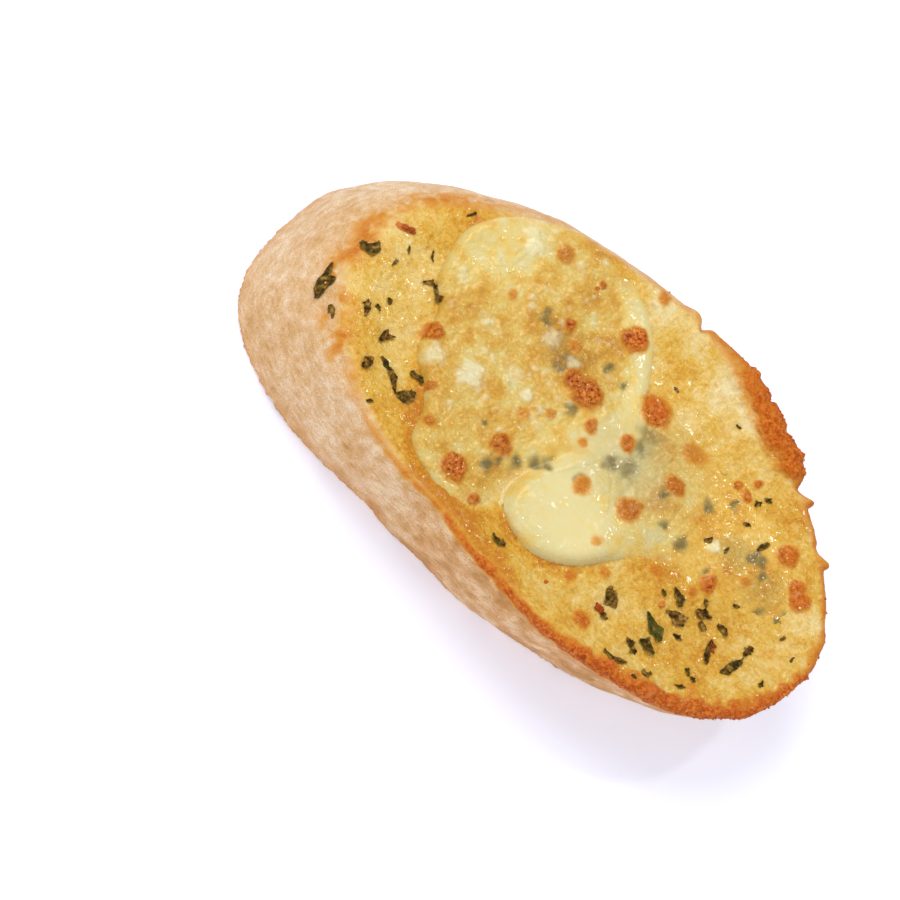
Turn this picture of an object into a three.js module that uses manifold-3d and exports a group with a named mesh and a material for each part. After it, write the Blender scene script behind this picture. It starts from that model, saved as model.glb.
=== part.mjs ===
// Garlic bread: one slice of baguette, cut on the slant, buttered, cheesed and toasted.
// Millimetres, +Z up. The slice lies on its flat cut underside, whose middle is the origin.
// +X runs along the slice, towards the end that the slanted cut leaves sharp,
// and +Y points to the domed side of the loaf, where the crust has torn open into an ear.

import * as THREE from 'three';
import { mergeVertices } from 'three/addons/utils/BufferGeometryUtils.js';
import { ImprovedNoise } from 'three/addons/math/ImprovedNoise.js';
import Module from 'manifold-3d';

const wasm = await Module();
wasm.setup();

// ---- Driving dimensions ---------------------------------------------------------------------

const SLICE_LENGTH = 116;
const SLICE_THICKNESS = 21.5;
const FLAT_SIDE_WIDTH = 31.9; // from the long middle line to the crust of the loaf's flat side, -Y
const DOME_SIDE_WIDTH = 34.6; // and to the crust of its domed side, +Y
const FLAT_SIDE_FULLNESS = 2.5; // the power of the oval: 2 is an ellipse, and more is squarer
const DOME_SIDE_FULLNESS = 1.71;
const LEAN = 12; // the slanted cut carries the top face this far along +X
const UNDERSIDE_LENGTH = 114;
const UNDERSIDE_FULLNESS = 3;
const UNDERSIDE_TURN = THREE.MathUtils.degToRad(4);
const WALL_BULGE = 1.2;
const CUT_EDGE_BEVEL = 0.6;

const OUTLINE_WOBBLE = 0.45; // loaves are never a true oval
const EDGE_RADIUS = 2; // how far the rounding between wall and top face reaches on both
const END_ROLL_RADIUS = 7; // the same edge at the -X end, where the crust rolls over
const RIM_HEIGHT = 1.2; // the baked crest above the crumb beside it
const RIM_WIDTH = 7;
const DISH_DEPTH = 0.9; // the buttered crumb sinks this far inside the rim
const CRUMB_SWELL = 0.55;
const CRUST_SWELL = 0.4;
const CRUST_SWELL_LENGTH = 9;

const EAR_TIP = THREE.MathUtils.degToRad(40); // where the torn crust ends, round from +X
const EAR_ROOT = THREE.MathUtils.degToRad(97);
const EAR_REACH = 1.9;
const EAR_RISE = 1.8;
const EAR_CREST = 1.5; // the ear keeps its full rise this far in from the outline
const EAR_WIDTH = 5;

const CHEESE_THICKNESS = 2;
const VEIL_THICKNESS = 1; // the lower slice where it has melted thin
const VEIL_START_X = 30;
const VEIL_END_X = 46;
const GAP = 0.3; // between pieces that touch
const SINK = 1.4; // how deep a topping's raw block starts inside what it lies on

const FLAKE_THICKNESS = 0.45;
const FLAKE_STAND = 0.5;
const FLAKE_CORNERS = 6;
const BLISTER_HEIGHT = 0.8;
const CURD_HEIGHT = 1;
const CRUMB_STAND = 0.4; // a burnt crumb's height above the face, as a share of its width
const BLISTER_CORNERS = 8;

const AROUND = 108; // facets round the slice
const CHEESE_AROUND = 46;

// ---- Outlines -------------------------------------------------------------------------------

const TOP_OVAL = {
  centreX: LEAN,
  halfLength: SLICE_LENGTH / 2,
  flat: { halfWidth: FLAT_SIDE_WIDTH, power: FLAT_SIDE_FULLNESS },
  dome: { halfWidth: DOME_SIDE_WIDTH, power: DOME_SIDE_FULLNESS },
  turn: 0,
};
const UNDER_OVAL = {
  centreX: 0,
  halfLength: UNDERSIDE_LENGTH / 2,
  flat: { halfWidth: FLAT_SIDE_WIDTH, power: UNDERSIDE_FULLNESS },
  dome: { halfWidth: DOME_SIDE_WIDTH, power: 2 },
  turn: UNDERSIDE_TURN,
};

// The cheese slices' edges, as closed smooth curves through a few points.
const UPPER_CHEESE_EDGE = [
  [-31.5, 12], [-29, 1], [-24, -4], [-21.5, -12], [-13.5, -18.5], [-9.5, -26], [0, -27.8], [8, -25],
  [10, -15], [15.5, -4], [17, 5], [13.5, 13], [6.5, 23], [-4, 29.3], [-15, 29.8], [-25, 23.8],
];
const LOWER_CHEESE_EDGE = [
  [7, -12], [9.5, -20.5], [18, -23], [26, -18.5], [33, -9], [43, -6], [53, -2.5], [61, 1.5],
  [61, 11], [50, 18.5], [38, 19.8], [29, 18.8], [19, 18], [12, 8],
];

// Browned blisters as [x, y, across], on the upper and the lower slice of cheese.
const UPPER_BLISTERS = [
  [4, 21, 6.5], [11, 12.5, 5.5], [4, 6, 7.5], [-6, 13.5, 4], [-17, 23, 4], [-1.5, -23.5, 5.5],
  [4, -13, 5], [9, 1, 4], [-18, -7.5, 4], [-14.5, -14.5, 3.5], [-24, 10, 3.5], [-11, 4, 3.5],
];
const LOWER_BLISTERS = [
  [19, 12.5, 7.5], [17, -7, 5], [25.5, -3.5, 6], [28.5, 7, 5], [27, 15, 5], [46, 0, 4.5],
  [52, 14, 4.5], [57.5, 9, 6], [38, 16.5, 5], [30, -12, 3.5], [38, 4, 3.5], [48, 9, 3.5],
];
const CURDS = [
  [-12.5, -9, 5.5], [-22, 18.5, 6], [-19, 3, 4], [-7, 8.5, 4.5], [-3, -4, 4], [-12, 16, 4],
];

// Where the parsley fell: single large flakes as [x, y, length, width, turn], in degrees,
// and drifts as [x, y, reach along x, reach along y, how many].
const LARGE_FLAKES = [
  [-41.5, -16.5, 7, 3, 42], [-40.5, -6, 4, 3.2, 80], [-21.5, -19.5, 7, 2.2, 170],
  [-27.8, -2.6, 5, 2.8, 120], [44.4, -13.9, 6, 3.4, 105], [41, -25.3, 6, 2, 10],
  [43, -20.2, 3.8, 3, 60], [59, -8, 5, 2.4, 90],
];
const DRIFTS = [
  [-34, -16, 6, 5, 5], [-35, 0, 5, 10, 7], [47, -20, 8, 5, 8], [49, -10, 8, 4, 8], [56, -14, 5, 5, 5],
  [33, -21, 5, 3, 4],
];
const BURNT_CRUMBS = [
  [32.8, -25.5, 2.6], [24, -27, 2], [-34.5, 9, 2.2], [50, -25.2, 1.6], [-36.5, 6, 1.5], [60, 16.5, 2],
];

// ---- Small helpers --------------------------------------------------------------------------

const { clamp, smoothstep, lerp, degToRad } = THREE.MathUtils;
const perlin = new ImprovedNoise();

// A seeded draw from 0 to 1: the same numbers each time.
function seededDraw(seed) {
  let state = seed;
  return () => {
    state = (state * 1664525 + 1013904223) % 4294967296;
    return state / 4294967296;
  };
}

function noise(x, y, z, wavelength) {
  return perlin.noise(x / wavelength + 7.3, y / wavelength + 3.1, z / wavelength + 11.7);
}

// Joins rings of points, lowest first and counterclockwise from above, into one closed skin.
function closedSkin(rings, lowPole, highPole) {
  const around = rings[0].length;
  const points = [lowPole, ...rings.flat(), highPole];
  const last = points.length - 1;
  const at = (ring, i) => 1 + ring * around + (i % around);
  const triangles = [];
  for (let i = 0; i < around; i++) {
    triangles.push(0, at(0, i + 1), at(0, i));
    for (let ring = 0; ring < rings.length - 1; ring++) {
      triangles.push(at(ring, i), at(ring, i + 1), at(ring + 1, i + 1));
      triangles.push(at(ring, i), at(ring + 1, i + 1), at(ring + 1, i));
    }
    triangles.push(last, at(rings.length - 1, i), at(rings.length - 1, i + 1));
  }
  const geometry = new THREE.BufferGeometry();
  geometry.setAttribute('position', new THREE.Float32BufferAttribute(points.flat(), 3));
  geometry.setIndex(triangles);
  return geometry;
}

function solidOf(geometry) {
  const merged = mergeVertices(geometry);
  const vertProperties = new Float32Array(merged.attributes.position.array);
  const triVerts = new Uint32Array(merged.index.array);
  return new wasm.Manifold(new wasm.Mesh({ numProp: 3, vertProperties, triVerts }));
}

// The largest piece of a solid, as a geometry: scraps that a cut leaves are dropped.
function geometryOf(solid) {
  const pieces = solid.decompose();
  pieces.sort((a, b) => b.volume() - a.volume());
  const mesh = pieces[0].getMesh();
  const geometry = new THREE.BufferGeometry();
  geometry.setAttribute('position', new THREE.Float32BufferAttribute(mesh.vertProperties, 3));
  geometry.setIndex([...mesh.triVerts]);
  geometry.computeVertexNormals();
  return geometry;
}

// ---- The slice of bread ---------------------------------------------------------------------

function ovalRadius(oval, angle) {
  const from = angle - oval.turn;
  const side = Math.sin(from) < 0 ? oval.flat : oval.dome;
  const along = Math.abs(Math.cos(from)) / oval.halfLength;
  const across = Math.abs(Math.sin(from)) / side.halfWidth;
  const wobble = Math.sin(5 * angle + 1.2) + 0.4 * Math.sin(11 * angle + 0.4);
  return (along ** side.power + across ** side.power) ** (-1 / side.power) + OUTLINE_WOBBLE * wobble;
}

// The point of an oval at an angle, moved in towards its middle by an inset.
function onOval(oval, angle, inset) {
  const radius = ovalRadius(oval, angle) - inset;
  return [oval.centreX + radius * Math.cos(angle), radius * Math.sin(angle)];
}

// How much of the ear there is at an angle: it grows from its root and breaks off at its tip.
function earShare(angle) {
  const grown = 1 - smoothstep(angle, EAR_TIP + 0.15, EAR_ROOT);
  const broken = smoothstep(angle, EAR_TIP - 0.05, EAR_TIP + 0.03);
  return grown * broken * (angle < Math.PI ? 1 : 0);
}

function edgeRadius(angle) {
  const towardsRolledEnd = smoothstep(-Math.cos(angle), 0.7, 1);
  return lerp(EDGE_RADIUS, END_ROLL_RADIUS, towardsRolledEnd);
}

// The broad swells of the buttered crumb.
function crumbSwell(x, y) {
  const long = Math.sin(x / 7.9 + 0.8) * Math.cos(y / 6.1 - x / 21);
  const short = Math.sin((x + y) / 4.3 + 2.5) * Math.sin((x - 1.7 * y) / 5.2);
  return CRUMB_SWELL * (long + 0.45 * short);
}

// How far the rounded edge lies below the top face, a distance in from the outline. The edge is
// a parabola between the wall, which the slant tips outwards or inwards, and the face.
function edgeDrop(angle, inward) {
  const edge = edgeRadius(angle);
  const tip = (-LEAN * Math.cos(angle) * edge) / SLICE_THICKNESS;
  const root = Math.sqrt(Math.max(tip * tip + (edge - tip) * (tip + inward), 0));
  const along = clamp((root - tip) / (edge - tip), 0, 1);
  return edge * (1 - along) ** 2;
}

// The height of the top face, by how far in from the outline a point lies.
function faceHeight(x, y) {
  const angle = Math.atan2(y, x - LEAN);
  const inward = ovalRadius(TOP_OVAL, angle) - Math.hypot(x - LEAN, y);
  const past = inward - edgeRadius(angle);
  const rim = RIM_HEIGHT * (1 - smoothstep(past, 0, RIM_WIDTH));
  const middle = smoothstep(past, 0, 2 * RIM_WIDTH);
  const settled = crumbSwell(x, y) * middle - DISH_DEPTH * middle;
  return SLICE_THICKNESS - RIM_HEIGHT + rim + settled - edgeDrop(angle, inward);
}

// A ring of points, one for each angle round the slice.
function ringOf(pointAt) {
  return [...Array(AROUND).keys()].map((i) => pointAt((2 * Math.PI * i) / AROUND));
}

// A point of the top face, at a share of the way from its middle to where the edge starts.
function facePoint(angle, share, grow) {
  const outline = ovalRadius(TOP_OVAL, angle);
  const radius = (outline - edgeRadius(angle)) * share;
  const [x, y] = onOval(TOP_OVAL, angle, outline - radius);
  const lifted = EAR_RISE * earShare(angle) * (1 - smoothstep(outline - radius, EAR_CREST, EAR_WIDTH));
  return [x, y, faceHeight(x, y) + lifted + grow];
}

// A point of the straight wall between the two ovals, at a share of the slice's height.
function wallPoint(angle, share) {
  const [underX, underY] = onOval(UNDER_OVAL, angle, 0);
  const [topX, topY] = onOval(TOP_OVAL, angle, 0);
  return [lerp(underX, topX, share), lerp(underY, topY, share), SLICE_THICKNESS * share];
}

// The share of the slice's height where the wall stops being straight.
function edgeStart(angle) {
  return 1 - edgeRadius(angle) / SLICE_THICKNESS;
}

// A point of the rounded edge, along its way from the wall to the face.
function edgePoint(angle, along) {
  const edge = edgeRadius(angle);
  const start = wallPoint(angle, edgeStart(angle));
  const corner = wallPoint(angle, 1);
  const end = [...onOval(TOP_OVAL, angle, edge), SLICE_THICKNESS];
  const back = 1 - along;
  return start.map((v, k) => back * back * v + 2 * back * along * corner[k] + along * along * end[k]);
}

// Crust on a point of the wall or edge: the belly of the wall, its swells and the torn ear.
function crusted([x, y, z], angle, fade, grow) {
  const share = z / SLICE_THICKNESS;
  const ragged = 1 + 0.35 * Math.sin(angle * 41) + 0.25 * Math.sin(angle * 23 + 1);
  const belly = WALL_BULGE * Math.sin(Math.PI * clamp(share, 0, 1));
  const swell = 2 * CRUST_SWELL * noise(x, y, z, CRUST_SWELL_LENGTH) * smoothstep(share, 0, 0.1);
  const ear = EAR_REACH * earShare(angle) * ragged * smoothstep(share, 0.7, 0.95);
  const out = fade * (belly + swell + ear + grow);
  const lift = EAR_RISE * earShare(angle) * smoothstep(share, 0.8, 1) + grow * share;
  return [x + out * Math.cos(angle), y + out * Math.sin(angle), z + lift];
}

// The whole slice; grow makes the same skin stand off a little, to cut the toppings with.
function sliceSkin(grow) {
  const shares = [CUT_EDGE_BEVEL / SLICE_THICKNESS, 0.22, 0.46, 0.7];
  const straight = shares.map((share) =>
    ringOf((angle) => crusted(wallPoint(angle, share * edgeStart(angle)), angle, 1, grow)));
  const rounded = [0, 0.3, 0.6].map((along) =>
    ringOf((angle) => crusted(edgePoint(angle, along), angle, 1 - 0.5 * along, grow)));
  const face = [1, 0.95, 0.88, 0.79, 0.67, 0.52, 0.36, 0.18].map((share) =>
    ringOf((angle) => facePoint(angle, share, grow)));
  const cut = ringOf((angle) => [...onOval(UNDER_OVAL, angle, CUT_EDGE_BEVEL - grow), 0]);
  const middle = [LEAN, 0, faceHeight(LEAN, 0) + grow];
  return closedSkin([cut, ...straight, ...rounded, ...face], [0, 0, 0], middle);
}

// ---- What lies on it ------------------------------------------------------------------------

// A torn flake of parsley: a thin wavy leaf that follows the face under it.
function flakeSkin([x, y, length, width, turn], draw, heightAt) {
  const along = [Math.cos(degToRad(turn)), Math.sin(degToRad(turn))];
  const wave = 0.3 * (draw() - 0.3);
  const edge = [...Array(FLAKE_CORNERS).keys()].map((i) => {
    const angle = (2 * Math.PI * i) / FLAKE_CORNERS;
    const torn = 0.75 + 0.45 * draw();
    const u = (length / 2) * Math.cos(angle) * torn;
    const v = (width / 2) * Math.sin(angle) * torn;
    const px = x + u * along[0] - v * along[1];
    const py = y + u * along[1] + v * along[0];
    return [px, py, heightAt(px, py) + FLAKE_STAND + (i % 2 ? wave : -wave)];
  });
  const middle = [x, y, heightAt(x, y) + FLAKE_STAND];
  const under = ([px, py, pz]) => [px, py, pz - FLAKE_THICKNESS - FLAKE_STAND];
  return closedSkin([edge.map(under), edge], under(middle), middle);
}

// A low round dome, as a bubble of cheese that browned, or a lump of curd or crumb.
function domeSkin([x, y, across], height, draw, heightAt) {
  const radii = [...Array(BLISTER_CORNERS).keys()].map(() => (across / 2) * (0.85 + 0.3 * draw()));
  const ring = (share, lift) =>
    radii.map((radius, i) => {
      const angle = (2 * Math.PI * i) / BLISTER_CORNERS;
      const px = x + radius * share * Math.cos(angle);
      const py = y + radius * share * Math.sin(angle);
      return [px, py, heightAt(px, py) + lift];
    });
  const z = heightAt(x, y);
  const rings = [ring(0.95, -SINK), ring(1, 0.05), ring(0.62, height * 0.8)];
  return closedSkin(rings, [x, y, z - SINK], [x, y, z + height]);
}

function cheeseThickness(x) {
  return lerp(CHEESE_THICKNESS, VEIL_THICKNESS, smoothstep(x, VEIL_START_X, VEIL_END_X));
}

function cheeseTop(x, y) {
  return faceHeight(x, y) + cheeseThickness(x) + 0.3 * noise(x, y, 0, 7);
}

// The raw block of one cheese slice: a rounded sheet whose underside is still inside the bread.
function cheeseSkin(edgePoints, grow) {
  const curve = new THREE.CatmullRomCurve3(
    edgePoints.map(([x, y]) => new THREE.Vector3(x, y, 0)), true);
  const outline = curve.getSpacedPoints(CHEESE_AROUND).slice(0, CHEESE_AROUND);
  const middle = new THREE.Vector3();
  outline.forEach((p) => middle.addScaledVector(p, 1 / CHEESE_AROUND));
  const ring = (share, thick) =>
    outline.map((p) => {
      const out = p.clone().sub(middle);
      out.setLength(out.length() * share + grow);
      const [x, y] = [middle.x + out.x, middle.y + out.y];
      const z = thick < 0 ? faceHeight(x, y) - SINK : lerp(faceHeight(x, y), cheeseTop(x, y), thick);
      return [x, y, z + (thick < 0 ? 0 : grow)];
    });
  const rim = [ring(0.985, -1), ring(1, 0.45), ring(0.975, 0.82)];
  const sheet = [0.92, 0.76, 0.5, 0.24].map((share) => ring(share, 1));
  const { x, y } = middle;
  const pole = [x, y, faceHeight(x, y) - 3 * SINK];
  return closedSkin([...rim, ...sheet], pole, [x, y, cheeseTop(x, y) + grow]);
}

// ---- Assembly -------------------------------------------------------------------------------

function driftFlakes(draw) {
  return DRIFTS.flatMap(([x, y, reachX, reachY, count]) =>
    [...Array(count).keys()].map(() => [
      x + reachX * (2 * draw() - 1),
      y + reachY * (2 * draw() - 1),
      2.2 + 1.8 * draw(),
      1.5 + 1.1 * draw(),
      180 * draw(),
    ]));
}

function breadSlice() {
  const draw = seededDraw(41);
  let slice = solidOf(sliceSkin(0));
  for (const flake of [...LARGE_FLAKES, ...driftFlakes(draw)]) {
    slice = slice.add(solidOf(flakeSkin(flake, draw, faceHeight)));
  }
  for (const crumb of BURNT_CRUMBS) {
    slice = slice.add(solidOf(domeSkin(crumb, crumb[2] * CRUMB_STAND, draw, faceHeight)));
  }
  return slice;
}

function cheeseSlice(edgePoints, domes, neighbours, seed) {
  const draw = seededDraw(seed);
  let cheese = solidOf(cheeseSkin(edgePoints, 0));
  for (const [spots, height] of domes) {
    for (const spot of spots) {
      cheese = cheese.add(solidOf(domeSkin(spot, height, draw, cheeseTop)));
    }
  }
  for (const neighbour of neighbours) {
    cheese = cheese.subtract(solidOf(neighbour));
  }
  return cheese;
}

function piece(name, solid, color, roughness) {
  const material = new THREE.MeshStandardMaterial({ color, roughness, metalness: 0 });
  const mesh = new THREE.Mesh(geometryOf(solid), material);
  mesh.name = name;
  return mesh;
}

const breadRoom = sliceSkin(GAP);
const upperRoom = cheeseSkin(UPPER_CHEESE_EDGE, GAP);
const upperDomes = [[UPPER_BLISTERS, BLISTER_HEIGHT], [CURDS, CURD_HEIGHT]];
const lowerDomes = [[LOWER_BLISTERS, BLISTER_HEIGHT]];
const upperCheese = cheeseSlice(UPPER_CHEESE_EDGE, upperDomes, [breadRoom], 5);
const lowerCheese = cheeseSlice(LOWER_CHEESE_EDGE, lowerDomes, [breadRoom, upperRoom], 9);

const garlicBread = new THREE.Group();
garlicBread.add(piece('bread_slice', breadSlice(), 0xe7bd66, 0.7));
garlicBread.add(piece('cheese_upper', upperCheese, 0xe3b95c, 0.35));
garlicBread.add(piece('cheese_lower', lowerCheese, 0xe9d69a, 0.3));

export default garlicBread;
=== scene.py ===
# %% [markdown]
# # A slice of garlic bread
#
# The real thing is a slanted slice of soft baguette. It was spread with butter, sprinkled with parsley,
# given two slices of cheese and toasted. We rebuild it as seven pieces: the bread, the two slices of
# cheese, the parsley, the burnt crumbs, the toasted grains and the beads of butter. The engineering
# model gives the frame that they all have to fit, so we load that first and list its parts.

import math
from types import SimpleNamespace

import bpy
import numpy as np
from mathutils import Matrix, Vector, noise
from mathutils.bvhtree import BVHTree
from mathutils.kdtree import KDTree


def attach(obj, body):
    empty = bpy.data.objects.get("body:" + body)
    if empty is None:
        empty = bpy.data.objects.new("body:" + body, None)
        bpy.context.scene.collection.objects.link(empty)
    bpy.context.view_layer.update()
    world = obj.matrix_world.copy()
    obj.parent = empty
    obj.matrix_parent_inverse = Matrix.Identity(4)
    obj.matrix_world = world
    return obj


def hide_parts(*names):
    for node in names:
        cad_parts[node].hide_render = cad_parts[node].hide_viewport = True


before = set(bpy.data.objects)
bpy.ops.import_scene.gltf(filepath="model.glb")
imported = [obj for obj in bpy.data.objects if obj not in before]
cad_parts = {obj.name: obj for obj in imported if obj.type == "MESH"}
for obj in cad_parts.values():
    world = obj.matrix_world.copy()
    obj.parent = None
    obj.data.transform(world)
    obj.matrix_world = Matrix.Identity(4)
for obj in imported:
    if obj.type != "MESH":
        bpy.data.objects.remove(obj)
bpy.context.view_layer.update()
MM = 0.001
print("nodes:", sorted(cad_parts))

# %% [markdown]
# ## Helpers
#
# We work in millimetres and turn them to metres only when a mesh is written. A few kinds of helper are
# enough: soft masks, noise fields over many points, closed outlines and spots, and getting the points
# of a mesh in and out.

# %% Helpers for numbers
def smoothstep(value, low, high):
    share = np.clip((value - low) / (high - low), 0.0, 1.0)
    return share * share * (3.0 - 2.0 * share)


def lerp(low, high, share):
    return low + (high - low) * share


def bell(value, middle, width):
    return np.exp(-(((value - middle) / width) ** 2))


def field(points, size, kind=noise.noise, shift=0.0):
    """A noise field over points, in millimetres, with lumps of about the given size."""
    return np.array([kind(Vector(p)) for p in points / size + shift])


def wandered(places, reach, size):
    """Places moved about by up to the reach, so that what is drawn there loses its round shape."""
    level = np.c_[places, np.zeros(len(places))]
    return places + reach * np.stack([field(level, size, shift=21.0), field(level, size, shift=34.0)], 1)


def closed_curve(corners, steps):
    """A smooth closed line through the corners, by the Catmull-Rom rule."""
    corners = np.array(corners, float)
    before, after, next_after = (np.roll(corners, shift, 0) for shift in (1, -1, -2))
    line = []
    for t in np.arange(steps) / steps:
        line.append(0.5 * (2 * corners + (after - before) * t
                           + (2 * before - 5 * corners + 4 * after - next_after) * t**2
                           + (3 * corners - before - 3 * after + next_after) * t**3))
    return np.stack(line, 1).reshape(-1, 2)


def edge_distance(places, line):
    """How far each place is inside a closed line; outside it is negative."""
    best = np.full(len(places), 1e9)
    inside = np.zeros(len(places), bool)
    for start, end in zip(line, np.roll(line, -1, 0)):
        run = end - start
        share = np.clip((places - start) @ run / (run @ run), 0, 1)
        best = np.minimum(best, np.hypot(*(places - start - share[:, None] * run).T))
        crosses = (start[1] > places[:, 1]) != (end[1] > places[:, 1])
        reach = start[0] + (places[:, 1] - start[1]) * run[0] / (run[1] if run[1] else 1e-9)
        inside ^= crosses & (places[:, 0] < reach)
    return np.where(inside, best, -best)


def round_spots(places, spots, wander, soft=0.9):
    """How much of a spot there is at each place. Its uneven outline fades over the soft share."""
    found = np.zeros(len(places))
    for x, y, across, strength in spots:
        away = np.hypot(places[:, 0] - x, places[:, 1] - y) / (across / 2)
        found = np.maximum(found, strength * smoothstep(1.35 - away + wander, 0.0, soft))
    return found


# %% Helpers for meshes
def deselect_all():
    if bpy.context.object and bpy.context.object.mode != "OBJECT":
        bpy.ops.object.mode_set(mode="OBJECT")
    bpy.ops.object.select_all(action="DESELECT")


def make_active(piece):
    deselect_all()
    piece.select_set(True)
    bpy.context.view_layer.objects.active = piece


def points_of(piece):
    flat = np.empty(len(piece.data.vertices) * 3)
    piece.data.vertices.foreach_get("co", flat)
    return flat.reshape(-1, 3) / MM


def set_points(piece, points):
    piece.data.vertices.foreach_set("co", (points * MM).ravel())
    piece.data.update()


def normals_of(piece):
    flat = np.empty(len(piece.data.vertices) * 3)
    piece.data.vertex_normals.foreach_get("vector", flat)
    return flat.reshape(-1, 3)


def paint(piece, name, values):
    """Keeps a value from 0 to 1 on each point, for a material to read."""
    layer = piece.data.attributes.new(name, "FLOAT", "POINT")
    layer.data.foreach_set("value", np.clip(values, 0.0, 1.0).astype(np.float32))


def apply_modifier(piece, kind, **settings):
    make_active(piece)
    modifier = piece.modifiers.new(kind.title(), kind)
    for name, value in settings.items():
        setattr(modifier, name, value)
    bpy.ops.object.modifier_apply(modifier=modifier.name)


def fix_normals(piece):
    make_active(piece)
    bpy.ops.object.mode_set(mode="EDIT")
    bpy.ops.mesh.select_all(action="SELECT")
    bpy.ops.mesh.normals_make_consistent(inside=False)
    bpy.ops.object.mode_set(mode="OBJECT")


def report(piece):
    triangles = sum(len(face.vertices) - 2 for face in piece.data.polygons)
    print(f"{piece.name}: {len(piece.data.vertices)} points, {triangles} triangles")


# %% [markdown]
# ## The outline of the slice
#
# A baguette is a rounded bar with one flatter side, so a slanted cut through it is a long oval that is
# fuller on that side. The power in a superellipse sets the fullness. The cut slants, so the top face
# is carried along +X over the underside. The same named sizes are in the engineering model.

# %% Outline and top face, in millimetres
LEAN = 12.0
THICKNESS = 21.5
TOP_OVAL = {"middle": LEAN, "length": 58.0, "flat": (31.9, 2.5), "dome": (34.6, 1.71), "turn": 0.0}
UNDER_TURN = math.radians(4)
UNDER_OVAL = {"middle": 0.0, "length": 57.0, "flat": (31.9, 3.0), "dome": (34.6, 2.0), "turn": UNDER_TURN}
WOBBLE = 0.45
EDGE, END_ROLL = 2.0, 7.0
RIM_HEIGHT, RIM_WIDTH, DISH = 1.2, 7.0, 0.9
BELLY = 1.2
EAR_TIP, EAR_ROOT = math.radians(40), math.radians(97)
EAR_REACH, EAR_RISE, EAR_CREST, EAR_WIDTH = 1.9, 1.8, 1.5, 5.0


def oval_radius(oval, angle):
    around = angle - oval["turn"]
    flat = np.sin(around) < 0
    width = np.where(flat, oval["flat"][0], oval["dome"][0])
    power = np.where(flat, oval["flat"][1], oval["dome"][1])
    along = np.abs(np.cos(around)) / oval["length"]
    across = np.abs(np.sin(around)) / width
    uneven = np.sin(5 * angle + 1.2) + 0.4 * np.sin(11 * angle + 0.4)
    return (along**power + across**power) ** (-1 / power) + WOBBLE * uneven


def on_oval(oval, angle, inset):
    radius = oval_radius(oval, angle) - inset
    return oval["middle"] + radius * np.cos(angle), radius * np.sin(angle)


def rolled_end(angle):
    """1 at the end where the crust rolls over softly, 0 at the other end and the sides."""
    return smoothstep(-np.cos(angle), 0.7, 1.0)


def edge_reach(angle):
    return lerp(EDGE, END_ROLL, rolled_end(angle))


def ear_share(angle):
    grown = 1 - smoothstep(angle, EAR_TIP + 0.15, EAR_ROOT)
    broken = smoothstep(angle, EAR_TIP - 0.05, EAR_TIP + 0.03)
    return grown * broken


def edge_drop(angle, inward):
    edge = edge_reach(angle)
    tip = -LEAN * np.cos(angle) * edge / THICKNESS
    root = np.sqrt(np.maximum(tip * tip + (edge - tip) * (tip + inward), 0.0))
    along = np.clip((root - tip) / (edge - tip), 0.0, 1.0)
    return edge * (1 - along) ** 2


def crumb_swell(x, y):
    broad = np.sin(x / 7.9 + 0.8) * np.cos(y / 6.1 - x / 21)
    small = np.sin((x + y) / 4.3 + 2.5) * np.sin((x - 1.7 * y) / 5.2)
    return 0.55 * (broad + 0.45 * small)


def face_place(x, y):
    """The angle round the slice and the distance in from the outline of points of the top face."""
    angle = np.arctan2(y, x - LEAN)
    return angle, oval_radius(TOP_OVAL, angle) - np.hypot(x - LEAN, y)


def face_height(x, y):
    angle, inward = face_place(x, y)
    past = inward - edge_reach(angle)
    rim = RIM_HEIGHT * (1 - smoothstep(past, 0.0, RIM_WIDTH))
    middle = smoothstep(past, 0.0, 2 * RIM_WIDTH)
    settled = (crumb_swell(x, y) - DISH) * middle
    return THICKNESS - RIM_HEIGHT + rim + settled - edge_drop(angle, inward)


print("face:", 2 * TOP_OVAL["length"], "x", TOP_OVAL["flat"][0] + TOP_OVAL["dome"][0], "mm")

# %% [markdown]
# ## Where the cheese lies
#
# Two slices of cheese melted over the middle and ran into each other. Their outlines come before the
# bread, because the bread needs no fine detail where they cover it, and browned spots that rose at
# their edges mark the bread too. Each blister, curd and sunken leaf has a place of its own, as on the
# real slice. Shreds of grated cheese are too many for that, so they fall at random.

# %% Outlines of the cheese, blisters, curds and sunken parsley, in millimetres
UPPER_EDGE = [
    (-31.5, 12), (-29, 1), (-24, -4), (-21.5, -12), (-13.5, -18.5), (-9.5, -26), (0, -27.8), (8, -25),
    (10.4, -14.6), (16.1, -3), (17.8, 6.2), (14.3, 14.2), (7.3, 24), (-4, 29.3), (-15, 29.8), (-25, 23.8),
]
LOWER_EDGE = [
    (7, -12), (9.5, -20.5), (18, -23), (26, -18.5), (33, -9), (43, -6), (53, -2.5), (61, 1.5),
    (61, 11), (50, 18.5), (38, 19.8), (29, 18.8), (19, 18), (12, 8),
]
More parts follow.
